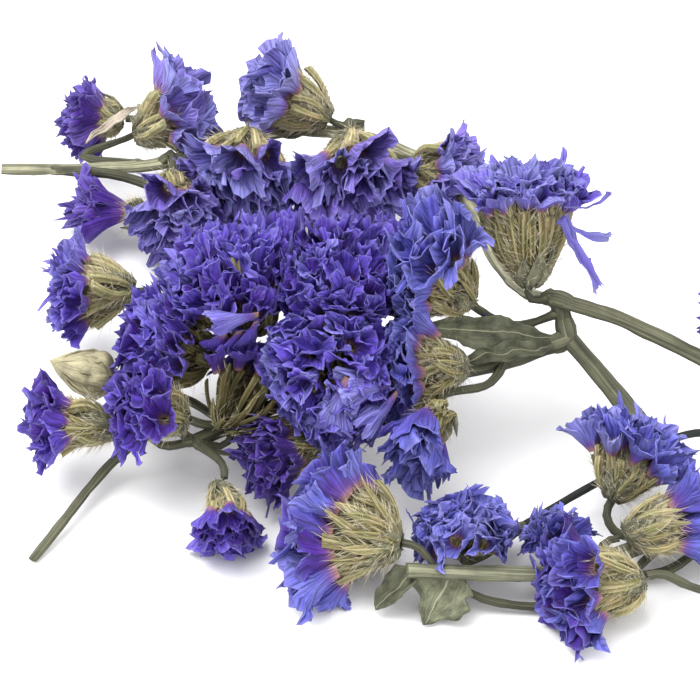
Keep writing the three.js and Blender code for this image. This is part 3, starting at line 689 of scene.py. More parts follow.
def twig_path(name):
    """A twig's path, which ends square under the foot of what it carries."""
    carried = BUD if name == "bud" else HEADS[name]
    foot = np.array(carried.foot, float)
    return [*TWIGS[name], foot - unit(carried.faces) * NECK, foot]


def softly_kept(room, margin):
    """Distances that shrink towards nothing, and never below it, inside a margin."""
    tight = margin * np.exp(np.minimum((room - margin) / margin, 0))
    return np.where(room < margin, tight, room)


def above_table(points, margin):
    points[:, 2] = softly_kept(points[:, 2], margin)
    return points


def head_middle(head):
    return np.array(head.foot) + HEAD_MIDDLE * head.reach * unit(head.faces)


def head_room(head):
    return (HEAD_ROOM + ROOM_PER_DEGREE * head.fan) * head.reach


def pressed(points, name):
    """Points of a head kept above the table, and pressed back where they run into a neighbour."""
    points = points - BRANCH_SHIFT
    head = HEADS[name]
    here = head_middle(head)
    for other, neighbour in HEADS.items():
        there = head_middle(neighbour)
        apart = np.linalg.norm(there - here)
        if other == name or apart > head_room(head) + head_room(neighbour):
            continue
        normal = (there - here) / apart
        share = (apart**2 + head_room(head) ** 2 - head_room(neighbour) ** 2) / (2 * apart)
        room = (here + normal * share - points) @ normal
        points = points - normal * PRESS_SHARE * (softly_kept(room, PRESS_MARGIN) - room)[:, None]
    return above_table(points, HEAD_CLEARANCE) + BRANCH_SHIFT


Placing = namedtuple("Placing", "at turn size form tone")


def points_object(name, placings):
    """A cloud of points, one for each placed form, that a tree puts the forms on."""
    at = np.array([p.at for p in placings]) + BRANCH_SHIFT
    values = {
        "turn": ("FLOAT_VECTOR", [tuple(Matrix(p.turn.tolist()).to_euler()) for p in placings]),
        "size": ("FLOAT_VECTOR", [np.broadcast_to(p.size, 3) for p in placings]),
        "way": ("FLOAT_VECTOR", [p.turn[:, 2] for p in placings]),
        "form": ("INT", [p.form for p in placings]),
        "tone": ("FLOAT", [p.tone for p in placings]),
    }
    return placed_object(name, mesh_of(name, at, [], values=values))


def form_collection(name, meshes):
    """A hidden set of forms, in order, for a tree to put on points."""
    forms = bpy.data.collections.new(name)
    for i, mesh in enumerate(meshes):
        forms.objects.link(bpy.data.objects.new(f"{name}_{i:02d}", mesh))
    return forms


def drop_forms(forms):
    for form in list(forms.objects):
        bpy.data.objects.remove(form)
    bpy.data.collections.remove(forms)


# Materials

# How fine the patterns are that lie in space, in noise cells for each metre
PAPER_CRINKLES = 1700.0
PAPER_PATCHES = 300.0
TUBE_PATCHES = 500.0
HAIR_SHADES = 700.0
BLADE_MOTTLE = 520.0
BARK_MOTTLE = 330.0
# How many veins, ribs, streaks and lines lie side by side across a piece's map
FRILL_VEINS = 80
TUBE_RIBS = 5
TUBE_STREAKS = 26
BLADE_LINES = 14
# How fine the streaks of bark are across a stem and along it
BARK_STREAKS = (2.6, 2.6, 50.0)
# How sharply the dark line hugs the edge of a wing
WING_EDGE = 24
# How deep the relief of a finish looks
PAPER_RELIEF = 0.18 * MM
TUBE_RELIEF = 0.15 * MM
BLADE_RELIEF = 0.2 * MM
BARK_RELIEF = 0.25 * MM


def new_material(name):
    material = bpy.data.materials.new(name)
    material.use_nodes = True
    return material, material.node_tree, material.node_tree.nodes["Principled BSDF"]


def opaque(values):
    return (*values, 1.0)


def mixed(tree, share, first, second, blend_type="MIX"):
    node = add(tree, "ShaderNodeMix", data_type="RGBA", blend_type=blend_type)
    sockets = {socket.identifier: socket for socket in (*node.inputs, *node.outputs)}
    for name, value in (("Factor_Float", share), ("A_Color", first), ("B_Color", second)):
        feed(tree, sockets[name], value)
    return sockets["Result_Color"]


def ramped(tree, factor, *stops):
    """A factor put through a ramp of places and their greys or colours."""
    node = add(tree, "ShaderNodeValToRGB", {"Fac": factor})
    ramp = node.color_ramp
    while len(ramp.elements) < len(stops):
        ramp.elements.new(1.0)
    for element, (place, value) in zip(ramp.elements, stops):
        element.position = place
        element.color = opaque((value,) * 3 if isinstance(value, float) else value)
    return node.outputs["Color"]


def tinted(tree, body, factor, *stops):
    """A colour multiplied by a ramp of a factor."""
    return mixed(tree, 1.0, body, ramped(tree, factor, *stops), "MULTIPLY")


def noise(tree, vector, scale, detail=3.0, roughness=0.5):
    sockets = {"Vector": vector, "Scale": scale, "Detail": detail, "Roughness": roughness}
    return add(tree, "ShaderNodeTexNoise", sockets).outputs["Fac"]


def map_parts(tree):
    """How far round and how far up a piece its own map puts a point."""
    node = add(tree, "ShaderNodeUVMap", uv_map=MAP_NAME)
    split = add(tree, "ShaderNodeSeparateXYZ", {0: node.outputs["UV"]})
    return split.outputs["X"], split.outputs["Y"]


def attribute(tree, name, output="Fac"):
    return add(tree, "ShaderNodeAttribute", attribute_name=name).outputs[output]


def object_place(tree):
    return add(tree, "ShaderNodeTexCoord").outputs["Object"]


def dress(tree, shader, body, roughness, gloss=0.5):
    """Gives a shader its colour, how rough it is and how much it mirrors."""
    tree.links.new(body, shader.inputs["Base Color"])
    shader.inputs["Roughness"].default_value = roughness
    shader.inputs["Specular IOR Level"].default_value = gloss


def bumped(tree, shader, height, strength, depth):
    sockets = {"Height": height, "Strength": strength, "Distance": depth}
    bump = add(tree, "ShaderNodeBump", sockets)
    tree.links.new(bump.outputs["Normal"], shader.inputs["Normal"])


def frill_paper(name, settings, paper):
    """Dry papery frill: warm at the foot, magenta, then blue-violet with fine veins, darker deep in
    the funnel as painted shade, and pale tips that are partly the paper's own pale margin and partly
    painted highlight.
    """
    material, tree, shader = new_material(name)
    around, rise = map_parts(tree)
    tone = attribute(tree, "tone")
    place = object_place(tree)
    vein_place = together(tree, times(tree, around, FRILL_VEINS), rise, times(tree, tone, 40))
    veins = noise(tree, vein_place, 1.0, 2.0)
    crinkle = noise(tree, place, PAPER_CRINKLES, roughness=0.6)
    patches = noise(tree, place, PAPER_PATCHES)
    fading_and_painted_shade = plus(tree, tone, times(tree, patches, 0.9))
    # Paler towards the margin and darker deep in the funnel: painted shade, on top of the paper's own
    # fading
    fading_and_painted_shade = times(tree, plus(tree, fading_and_painted_shade, times(tree, rise, 0.25)), 0.5)
    body = ramped(tree, fading_and_painted_shade, (0.30, settings.deep), (0.54, paper), (0.86, settings.faded))
    throat = ramped(tree, rise, (0.08, 1.0), (0.36, 0.0))
    body = mixed(tree, throat, body, opaque(settings.throat))
    foot = ramped(tree, rise, (0.0, 1.0), (0.18, 0.0))
    body = mixed(tree, foot, body, opaque(settings.foot))
    body = tinted(tree, body, veins, (0.38, 0.45), (0.5, 0.95), (0.64, 1.35))
    # Pale margin: partly the paper's own pale edge, partly painted highlight where the crumpled edges
    # catch the light
    edge = ramped(tree, rise, (0.88, 0.0), (1.0, 0.3))
    body = mixed(tree, edge, body, opaque(settings.faded))
    dress(tree, shader, body, roughness=0.6, gloss=0.35)
    shader.inputs["Sheen Weight"].default_value = 0.06
    shader.inputs["Sheen Roughness"].default_value = 0.5
    bumped(tree, shader, plus(tree, veins, times(tree, crinkle, 0.8)), 0.7, PAPER_RELIEF)
    return material


def tube_paper(settings):
    """Ribbed calyx tube: straw ribs, olive-brown furrows, browner towards the foot."""
    material, tree, shader = new_material("calyx_tube")
    around, rise = map_parts(tree)
    tone = attribute(tree, "tone")
    ribs = math_node(tree, "COSINE", times(tree, around, FULL_TURN * TUBE_RIBS))
    streaks = noise(tree, together(tree, times(tree, around, TUBE_STREAKS), rise, tone), 2.2)
    patches = noise(tree, object_place(tree), TUBE_PATCHES)
    share = plus(tree, times(tree, ribs, 0.22), streaks)
    share = times(tree, plus(tree, share, times(tree, tone, 0.45)), 0.7)
    body = ramped(tree, share, (0.26, settings.furrow), (0.62, settings.rib), (0.86, settings.hair))
    body = tinted(tree, body, rise, (0.0, 0.8), (0.5, 1.08), (1.0, 1.0))
    body = tinted(tree, body, patches, (0.35, (0.80, 0.86, 0.70)), (0.7, (1.12, 1.02, 0.95)))
    dress(tree, shader, body, roughness=0.7, gloss=0.3)
    bumped(tree, shader, streaks, 0.6, TUBE_RELIEF)
    return material


def dry_blade(name, base, darkest=0.45, midrib=(0.62, 0.6, 0.42)):
    """Dry leaf, bract or scale: mottled, with a pale midrib and fine lengthwise veins."""
    material, tree, shader = new_material(name)
    around, rise = map_parts(tree)
    mottle = noise(tree, object_place(tree), BLADE_MOTTLE, 5.0, 0.65)
    off_middle = math_node(tree, "ABSOLUTE", math_node(tree, "SUBTRACT", around, 0.5))
    lines = noise(tree, together(tree, times(tree, around, BLADE_LINES), rise, 0.0), 2.0, 2.0)
    body = tinted(tree, opaque(base), mottle, (0.34, darkest), (0.64, 1.4))
    body = tinted(tree, body, lines, (0.35, 0.75), (0.65, 1.15))
    rib = ramped(tree, off_middle, (0.008, 0.35), (0.03, 0.0))
    body = mixed(tree, rib, body, opaque(midrib))
    dress(tree, shader, body, roughness=0.75, gloss=0.3)
    bumped(tree, shader, plus(tree, lines, mottle), 0.6, BLADE_RELIEF)
    return material


def plain_hair(settings):
    """Pale hairs, some a little darker than others."""
    material, tree, shader = new_material("calyx_hair")
    shades = noise(tree, object_place(tree), HAIR_SHADES)
    body = tinted(tree, opaque(settings.hair), shades, (0.3, 0.75), (0.7, 1.15))
    dress(tree, shader, body, roughness=0.6)
    return material


def stem_bark(name, base, edge, edge_strength):
    """Dry ridged stem: lengthwise streaks and dark lines along the wings."""
    material, tree, shader = new_material(name)
    grain = attribute(tree, "grain", "Vector")
    split = add(tree, "ShaderNodeSeparateXYZ", {0: grain})
    streaks = noise(tree, vector_node(tree, "MULTIPLY", grain, BARK_STREAKS), 1.6, 4.0, 0.6)
    mottle = noise(tree, object_place(tree), BARK_MOTTLE, 4.0, 0.6)
    wing = math_node(tree, "POWER", math_node(tree, "ABSOLUTE", split.outputs["X"]), WING_EDGE)
    body = tinted(tree, opaque(base), streaks, (0.36, 0.4), (0.5, 0.9), (0.64, 1.6))
    body = tinted(tree, body, mottle, (0.32, 0.7), (0.68, 1.2))
    body = mixed(tree, times(tree, wing, edge_strength), body, opaque(edge))
    dress(tree, shader, body, roughness=0.72, gloss=0.35)
    bumped(tree, shader, plus(tree, streaks, mottle), 0.7, BARK_RELIEF)
    return material


# Frills

FRILL_COLUMNS = 36
FRILL_ROWS = np.array((0, 0.22, 0.44, 0.64, 0.83, 1.0))
FRILL_LOBES = 5
# Radius of a frill where its tube opens, and how far from the head's foot that is
FRILL_MOUTH = 0.7
FRILL_START = 7.0
# Folds round a frill: how many, and how deep next to the others
RUFFLES = ((4, 0.4), (7, 0.42), (15, 0.34))
# Creases in a frill: how far apart, and how deep for a shape whose crease is one
FRILL_CREASES = ((3.4, 0.7), (1.5, 0.3))
# How uneven a frill's margin is, and how wide a tear in it opens, in radians
MARGIN_FRAY = 0.055
TEAR_WIDTH = 0.5
# How far a frill strays from its floret's way, how much smaller than full size it may be, and how
# much paler or darker than its head
FRILL_STRAY = 0.12
FRILL_SIZES = (0.78, 1.05)
FRILL_TONES = (-0.33, 0.33)
# Creases sharper than this angle are drawn as folds
FOLD_ANGLE = math.radians(60)

# How a frill has dried: how wide it opens, how flat it is folded, how far its rim droops, how far it
# leans, how deep its lobes, folds and creases are, and how deep a tear runs
FrillShape = namedtuple("FrillShape", "flare squash droop lean lobe fold crease tear")
FRILL_SHAPES = (
    FrillShape(1.25, 0.75, 0.10, 0.0, 0.16, 0.50, 0.75, 0.0),
    FrillShape(1.00, 0.55, 0.18, 0.1, 0.20, 0.55, 0.95, 0.3),
    FrillShape(1.60, 0.65, 0.00, 0.0, 0.18, 0.45, 1.00, 0.0),
    FrillShape(0.90, 0.45, 0.05, 0.2, 0.20, 0.50, 0.85, 0.5),
    FrillShape(1.10, 0.42, 0.10, 0.0, 0.24, 0.45, 0.90, 0.0),
    FrillShape(1.40, 0.50, 0.22, -0.2, 0.28, 0.55, 1.05, 0.4),
    FrillShape(1.00, 0.70, 0.28, 0.0, 0.24, 0.60, 0.85, 0.0),
    FrillShape(1.90, 0.50, 0.00, 0.15, 0.16, 0.42, 1.10, 0.2),
    FrillShape(1.15, 0.48, 0.15, -0.1, 0.34, 0.46, 0.95, 0.6),
    FrillShape(1.30, 0.60, 0.12, 0.2, 0.26, 0.60, 0.80, 0.0),
)
FAN_SHAPE = FrillShape(1.20, 0.42, 0.00, 0.0, 0.12, 0.38, 0.90, 0.0)
FAN_FORMS = 2
STRAP_FORMS = 3
FRILL_SEED, STRAP_SEED, FAN_SEED = 31, 51, 71
# Seeds of the first head and from one head to the next, and what sets its tubes off from its frills
FIRST_HEAD_SEED, HEAD_SEED_STEP = 211, 13
TUBES_SEED_SHIFT = 2


def ruffled(turn, rng):
    """The waves of a frill's folds, round it."""
    wave = 0 * turn
    for folds, weight in RUFFLES:
        swell, phase = rng.uniform(0, FULL_TURN, 2)
        wave = wave + weight * (1 + 0.5 * np.sin(2 * turn + swell)) * np.sin(folds * turn + phase)
    return wave


def frill_mesh(name, shape, seed, settings):
    """One papery frill: a folded funnel with a lobed, ragged margin."""
    rng = np.random.default_rng(seed)
    rim, depth, paper = (v / MM for v in (settings.rim, settings.depth, settings.paper))
    steps = np.arange(FRILL_COLUMNS) + rng.uniform(-0.25, 0.25, FRILL_COLUMNS)
    turn = FULL_TURN * steps[:, None] / FRILL_COLUMNS
    fold = ruffled(turn, rng)
    phase, torn_at = rng.uniform(0, FULL_TURN, 2)
    rise = FRILL_ROWS[None, :]
    notch = np.abs(np.sin(FRILL_LOBES / 2 * turn + phase))
    margin = shape.lobe * (notch**0.5 - 0.85) * 1.8
    margin = margin + rng.normal(0, MARGIN_FRAY, turn.shape)
    off_tear = np.abs(np.angle(np.exp(1j * (turn - torn_at))))
    margin = margin - shape.tear * np.exp(-((off_tear / TEAR_WIDTH) ** 2))
    reach = rise * (1 + margin * rise**2)
    opening = (rim - FRILL_MOUTH) * reach**shape.flare
    height = depth * reach * (1 - shape.droop * reach**2)
    out = depth * (1 - 3 * shape.droop * reach**2)
    down = (rim - FRILL_MOUTH) * shape.flare * np.maximum(reach, 0.05) ** (shape.flare - 1)
    steep = np.hypot(out, down)
    push = shape.fold * fold * rise**1.2
    radius = FRILL_MOUTH + opening + push * out / steep
    height = height - push * down / steep
    x = radius * np.cos(turn) * (1 + 0.3 * (1 - shape.squash) * rise)
    y = radius * np.sin(turn) * (1 - (1 - shape.squash) * rise**0.7)
    x = x + shape.lean * depth * rise**2
    grid = crumpled = np.stack([x, y, height], axis=2)
    for width, deep in FRILL_CREASES:
        crumpled = creased(crumpled, width, deep * shape.crease, rng)
    grid = grid + (crumpled - grid) * rise[..., None]
    points, faces, corners = thick_sheet(grid, paper, True)
    rises = np.tile(np.broadcast_to(rise, grid.shape[:2]).ravel(), 2)
    return mesh_of(name, points, faces, corners, {"rise": ("FLOAT", rises)})


def strap_mesh(name, seed):
    """A torn strap of frill, a millimetre long, creased down its middle and widest at its end."""
    rng = np.random.default_rng(seed)
    across = np.linspace(-1, 1, 9)[:, None]
    rise = np.linspace(0, 1, 16)[None, :]
    half = 0.05 + 0.055 * rise**3 + 0.014 * np.sin(9 * rise + seed)
    fray = 0.05 * rise**8 * np.sin(11 * across + seed)
    bend = 0.22 * rng.uniform(0.5, 1) * rise**2 * np.sin(1 + 3 * rise)
    grid = np.stack([half * across + bend, 0.8 * half * np.abs(across) - bend, rise + fray], axis=2)
    points, faces, corners = thick_sheet(creased(grid, 0.3, 0.035, rng), 0.012, False)
    # Its map starts halfway up a frill, where the paper is blue
    corners = [(u, 0.45 + 0.55 * v) for u, v in corners]
    return mesh_of(name, points, faces, corners, {"rise": ("FLOAT", np.full(len(points), 0.3))})


def frill_tree():
    """Frills put on points, crumpled together and given their paper."""
    tree, given, result = group(
        "Frills on calyces",
        {
            "Frill forms": "Collection",
            "Crumple depth": "Float",
            "Crumple width": "Float",
            "Seed": "Float",
            "Paper": "Material",
        },
    )
    frills = forms_on_points(tree, given["Geometry"], given["Frill forms"])
    sockets = {
        "Vector": add(tree, "GeometryNodeInputPosition").outputs[0],
        "W": given["Seed"],
        "Scale": math_node(tree, "DIVIDE", 1.0, given["Crumple width"]),
        "Detail": 2.0,
        "Roughness": 0.55,
    }
    wrinkles = add(tree, "ShaderNodeTexNoise", sockets, noise_dimensions="4D")
    centred = vector_node(tree, "SUBTRACT", wrinkles.outputs["Color"], (0.5, 0.5, 0.5))
    share = times(tree, given["Crumple depth"], named(tree, "rise", "FLOAT"))
    offset = vector_node(tree, "SCALE", centred, times(tree, share, 2.0))
    crumpled = moved(tree, frills, offset)
    tree.links.new(finished(tree, crumpled, given["Paper"]), result["Geometry"])
    return tree


def head_seed(name):
    return FIRST_HEAD_SEED + HEAD_SEED_STEP * list(HEADS).index(name)


def spread_ways(name, count, rng):
    """The ways a head's florets point in its own frame, from its middle out as in a sunflower."""
    order = np.arange(count)
    share = np.sqrt((order + 0.4) / (count - 0.6)) * rng.uniform(0.93, 1.05, count)
    lean = share * math.radians(HEADS[name].fan)
    turn = rng.uniform(0, FULL_TURN) + order * GOLDEN_TURN
    across, over = HABITS[name].spread
    aside = np.stack([across * np.cos(turn), over * np.sin(turn)], axis=1) * np.sin(lean)[:, None]
    ways = np.column_stack([aside, np.cos(lean)])
    return ways / np.linalg.norm(ways, axis=1, keepdims=True)


def bare_side(habit, basis, way):
    """Whether a floret points to the side where its head has no frills."""
    return habit.bare is not None and unit(habit.bare) @ basis @ way > BARE_FROM


def frill_placings(name):
    """Where a head's frills, its torn straps and its fans go."""
    head, habit = HEADS[name], HABITS[name]
    rng = np.random.default_rng(head_seed(name))
    size = head.reach / FULL_REACH
    basis = frame_at(head.faces)
    placings = []
    for way in spread_ways(name, round(head.calyces * habit.crowding), rng):
        if bare_side(habit, basis, way):
            continue
        at = np.array(head.foot) + basis @ (way * FRILL_START * habit.start * size)
        bent = basis @ (way + rng.normal(0, FRILL_STRAY, 3)) - np.array((0, 0, habit.hang))
        turn = turned_to(bent, basis @ (way * (1, 1, 0)), rng.uniform(0, FULL_TURN))
        wide, long = habit.bloom
        grown = size * np.array((wide, wide, long)) * rng.uniform(*FRILL_SIZES, 3)
        tone = habit.frills + rng.uniform(*FRILL_TONES)
        placings.append(Placing(at, turn, grown, int(rng.integers(len(FRILL_SHAPES))), tone))
    for strap in STRAPS.get(name, ()):
        form = len(FRILL_SHAPES) + int(rng.integers(STRAP_FORMS))
        turn = turned_to(strap.way, (0, 1, 0), rng.uniform(0, FULL_TURN))
        placings.append(Placing(np.array(strap.at), turn, strap.long, form, habit.frills))
    for i, fan in enumerate(FANS.get(name, ())):
        wide, long = fan.size
        form = len(FRILL_SHAPES) + STRAP_FORMS + i % FAN_FORMS
        turn = turned_to(fan.way, np.cross(fan.way, TOWARDS_FRONT))
        tone = habit.frills + fan.paler
        placings.append(Placing(np.array(fan.at), turn, (wide, wide, long), form, tone))
    return placings


def head_paper(name, bright, blue, shaded):
    if name in SHADED_HEADS:
        return shaded
    return blue if name in BLUE_HEADS else bright


class STATICE_OT_frills(bpy.types.Operator):
    """Make the papery frills of every flower head"""

    bl_idname = "statice.frills"
    bl_label = "Frills"

    def execute(self, context):
        settings = context.scene.statice_frills
        meshes = [
            frill_mesh(f"frill_form_{i}", shape, FRILL_SEED + i, settings)
            for i, shape in enumerate(FRILL_SHAPES)
        ]
        meshes += [strap_mesh(f"strap_form_{i}", STRAP_SEED + i) for i in range(STRAP_FORMS)]
        meshes += [
            frill_mesh(f"fan_form_{i}", FAN_SHAPE, FAN_SEED + i, settings) for i in range(FAN_FORMS)
        ]
        forms = form_collection("frill_form", meshes)
        tree = frill_tree()
        bright = frill_paper("frill_paper", settings, settings.lit)
        blue = frill_paper("blue_frill_paper", settings, settings.blue)
        # Painted shade: the paper of the back heads and of the shade head
        shaded = frill_paper("shaded_frill_paper", settings, settings.shaded)
        for i, name in enumerate(HEADS):
            points = points_object(f"{name}_papery_frills", frill_placings(name))
            inputs = {
                "Frill forms": forms,
                "Crumple depth": settings.crumple * HABITS[name].crumple,
                "Crumple width": settings.crumple_width,
                "Seed": float(i),
                "Paper": head_paper(name, bright, blue, shaded),
            }
            piece = grow(points, tree, inputs)
            reshape(piece.data, pressed, name)
            piece.data.set_sharp_from_angle(angle=FOLD_ANGLE)
            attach(piece, BODY)
            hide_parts(f"{name}_frills")
        drop_forms(forms)
        return {"FINISHED"}


# Calyx tubes, with the bracts and hairs at a head's foot

# What a face of a head's foot belongs to
TUBE_PART, BRACT_PART, HAIR_PART = range(3)
# Points round a tube, on a rib and in a furrow by turns, and along it
TUBE_COLUMNS = 10
TUBE_ROWS = 6
TUBE_RIB, TUBE_FURROW = 1.12, 0.62
# A tube's length, its radius at the foot, and how far a shut one is drawn in at its mouth
TUBE_LENGTH = 7.3
TUBE_FOOT = 0.3
SHUT_PINCH = 0.85
# How many tubes there are for each calyx of the solid, how far each strays from its floret's way,
# how thick it may be, and how much paler or darker than its head
TUBES_PER_CALYX = 5.0
TUBE_STRAY = 0.09
TUBE_GIRTHS = (0.7, 1.3)
TUBE_TONES = (-0.25, 0.25)
# Where a tube starts next to its head's foot, across the head and along its way
TUBE_START = (1.7, 1.7, 0.5)
TUBE_FORMS = 6
BRACT_FORMS = 3
TUBE_SEED, BRACT_SEED = 61, 81
# Bracts round a head's foot: how many, how far from it they start, how far they may lean out, their
# sizes next to one another, and how pale they are
BRACTS = 10
BRACT_START = 0.8
BRACT_LEAN = 0.95
BRACT_SIZES = (0.6, 1.15)
BRACT_TONE = 0.5
# How far hairs lean along their tube, how far they stray, and their sizes next to one another
HAIR_LEAN = 1.2
HAIR_STRAY = 0.5
HAIR_SIZES = (0.4, 1.2)
SQUARE_CENTIMETRES_PER_METRE = 1e4


def part_values(points, part):
    return {"part": ("INT", np.full(len(points), part))}


def tube_mesh(name, seed, mouth, pinch=0.0):
    """One ribbed calyx tube, bowed a little, narrow at the foot; its mouth open or pinched shut."""
    rng = np.random.default_rng(seed)
    rise = np.linspace(0, 1, TUBE_ROWS)[None, :]
    turn = np.linspace(0, FULL_TURN, TUBE_COLUMNS, endpoint=False)[:, None]
    ribs = np.where(np.arange(TUBE_COLUMNS) % 2, TUBE_FURROW, TUBE_RIB)[:, None]
    rib = ribs * rng.uniform(0.85, 1.15, turn.shape)
    belly = TUBE_FOOT + (mouth - TUBE_FOOT) * (0.45 * rise + 0.55 * np.sin(rise * math.pi / 2))
    radius = belly * rib * (1 + rng.normal(0, 0.05, rise.shape)) * (1 - pinch * rise**3)
    bow, sway = rng.normal(0.35, 0.35), rng.normal(0, 0.5)
    x = radius * np.cos(turn) + bow * 4 * rise * (1 - rise)
    y = radius * np.sin(turn) + sway * np.sin(rise * rng.uniform(2, 5))
    z = TUBE_LENGTH * rise * rng.uniform(0.86, 0.97) + 0 * turn
    points, faces, corners = closed_tube(np.stack([x, y, z], axis=2))
    return mesh_of(name, points, faces, corners, part_values(points, TUBE_PART))


def cupped_blade(long, wide, thick, curl, rng, columns=5, rows=8):
    """A pointed blade along Z that cups towards -X, as a closed sheet."""
    across = np.linspace(-1, 1, columns)[:, None]
    rise = np.linspace(0, 1, rows)[None, :]
    half = wide / 2 * (np.sin(math.pi * (0.16 + 0.84 * rise)) ** 0.8 + 0.02)
    half = half * (1 + rng.normal(0, 0.05, rise.shape))
    x = -0.45 * half * across**2 + curl * long * rise**2
    y = half * across
    z = long * (rise - 0.12 * curl * rise**2) + 0 * across
    grid = np.stack([x + 0 * y, y + 0 * x, z], axis=2)
    return thick_sheet(creased(grid, 2.2, 0.12, rng), thick, False)


def bract_mesh(name, seed):
    """One papery bract, as it lies against a head's foot."""
    rng = np.random.default_rng(seed)
    points, faces, corners = cupped_blade(4.6, 2.0, 0.12, 0.12, rng)
    return mesh_of(name, points, faces, corners, part_values(points, BRACT_PART))


def hair_mesh(name, long, wide):
    """One hair: a three-sided spike along Z."""
    turn = np.arange(3) * FULL_TURN / 3
    foot = np.stack([wide / 2 * np.cos(turn), wide / 2 * np.sin(turn), 0 * turn], axis=1)
    points = np.concatenate([foot, [[0, 0, long]]])
    faces = [(0, 1, 3), (1, 2, 3), (2, 0, 3), (2, 1, 0)]
    return mesh_of(name, points, faces, np.zeros((12, 2)), part_values(points, HAIR_PART))


def foot_tree():
    """Tubes and bracts put on points, hairs put on the tubes, and a finish for each."""
    tree, given, result = group(
        "Calyx tubes with hairs",
        {
            "Forms": "Collection",
            "Hair": "Object",
            "Hairs per square metre": "Float",
            "Hair lean": "Float",
            "Seed": "Int",
            "Tube finish": "Material",
            "Bract finish": "Material",
            "Hair finish": "Material",
        },
    )
    body = forms_on_points(tree, given["Geometry"], given["Forms"])
    density = {"Mesh": body, "Density": given["Hairs per square metre"], "Seed": given["Seed"]}
    spots = add(tree, "GeometryNodeDistributePointsOnFaces", density)
    reach = {"Min": (-HAIR_STRAY,) * 3, "Max": (HAIR_STRAY,) * 3, "Seed": given["Seed"]}
    stray = add(tree, "FunctionNodeRandomValue", reach, data_type="FLOAT_VECTOR")
    along = vector_node(tree, "SCALE", named(tree, "way"), given["Hair lean"])
    lean = vector_node(tree, "ADD", spots.outputs["Normal"], along)
    lean = vector_node(tree, "ADD", lean, stray.outputs[0])
    turn = add(tree, "FunctionNodeAlignRotationToVector", {"Vector": lean}, axis="Z")
    least, most = HAIR_SIZES
    sockets = {2: least, 3: most, "Seed": given["Seed"]}
    sizes = add(tree, "FunctionNodeRandomValue", sockets, data_type="FLOAT")
    hair = add(tree, "GeometryNodeObjectInfo", {"Object": given["Hair"]})
    sockets = {
        "Points": spots.outputs["Points"],
        "Instance": hair.outputs["Geometry"],
        "Rotation": turn.outputs[0],
        "Scale": sizes.outputs[1],
    }
    hairs = add(tree, "GeometryNodeInstanceOnPoints", sockets)
    both = add(tree, "GeometryNodeJoinGeometry")
    for geometry in (hairs.outputs[0], body):
        tree.links.new(geometry, both.inputs[0])
    geometry = real(tree, both.outputs[0])
    for part, finish in ((TUBE_PART, "Tube"), (BRACT_PART, "Bract"), (HAIR_PART, "Hair")):
        sockets = {2: named(tree, "part", "INT"), 3: part}
        chosen = add(tree, "FunctionNodeCompare", sockets, data_type="INT", operation="EQUAL")
        geometry = finished(tree, geometry, given[f"{finish} finish"], chosen.outputs[0])
    tree.links.new(geometry, result["Geometry"])
    return tree


def tube_placings(name):
    """Where a head's tubes and its bracts go."""
    head, habit = HEADS[name], HABITS[name]
    rng = np.random.default_rng(head_seed(name) + TUBES_SEED_SHIFT)
    size = head.reach / FULL_REACH
    basis = frame_at(head.faces)
    foot = np.array(head.foot)
    placings = []
    for way in spread_ways(name, round(head.calyces * TUBES_PER_CALYX), rng):
        start = way * TUBE_START * size
        end = (way + rng.normal(0, TUBE_STRAY, 3)) * FRILL_START * habit.start * size
        turn = turned_to(basis @ (end - start), basis @ (way * (1, 1, 0)), rng.normal(0, 0.6))
        girth = size * rng.uniform(*TUBE_GIRTHS)
        grown = (girth, girth, np.linalg.norm(end - start) / (FRILL_START - TUBE_START[2]))
        tone = habit.tubes + rng.uniform(*TUBE_TONES)
        first_form = TUBE_FORMS + BRACT_FORMS if bare_side(habit, basis, way) else 0
        form = first_form + int(rng.integers(TUBE_FORMS))
        placings.append(Placing(foot + basis @ start, turn, grown, form, tone))
    for i in range(BRACTS):
        around = i * FULL_TURN / BRACTS + rng.uniform(-0.3, 0.3)
        lean = min(BRACT_LEAN, math.radians(head.fan)) * rng.uniform(0.7, 1.15)
        aside = np.array((math.cos(around), math.sin(around), 0))
        way = aside * math.sin(lean) + np.array((0, 0, math.cos(lean)))
        form = TUBE_FORMS + int(rng.integers(BRACT_FORMS))
        at = foot + basis @ (aside * BRACT_START)
        turn = turned_to(basis @ way, basis @ -aside)
        placings.append(Placing(at, turn, size * rng.uniform(*BRACT_SIZES), form, BRACT_TONE))
    return placings


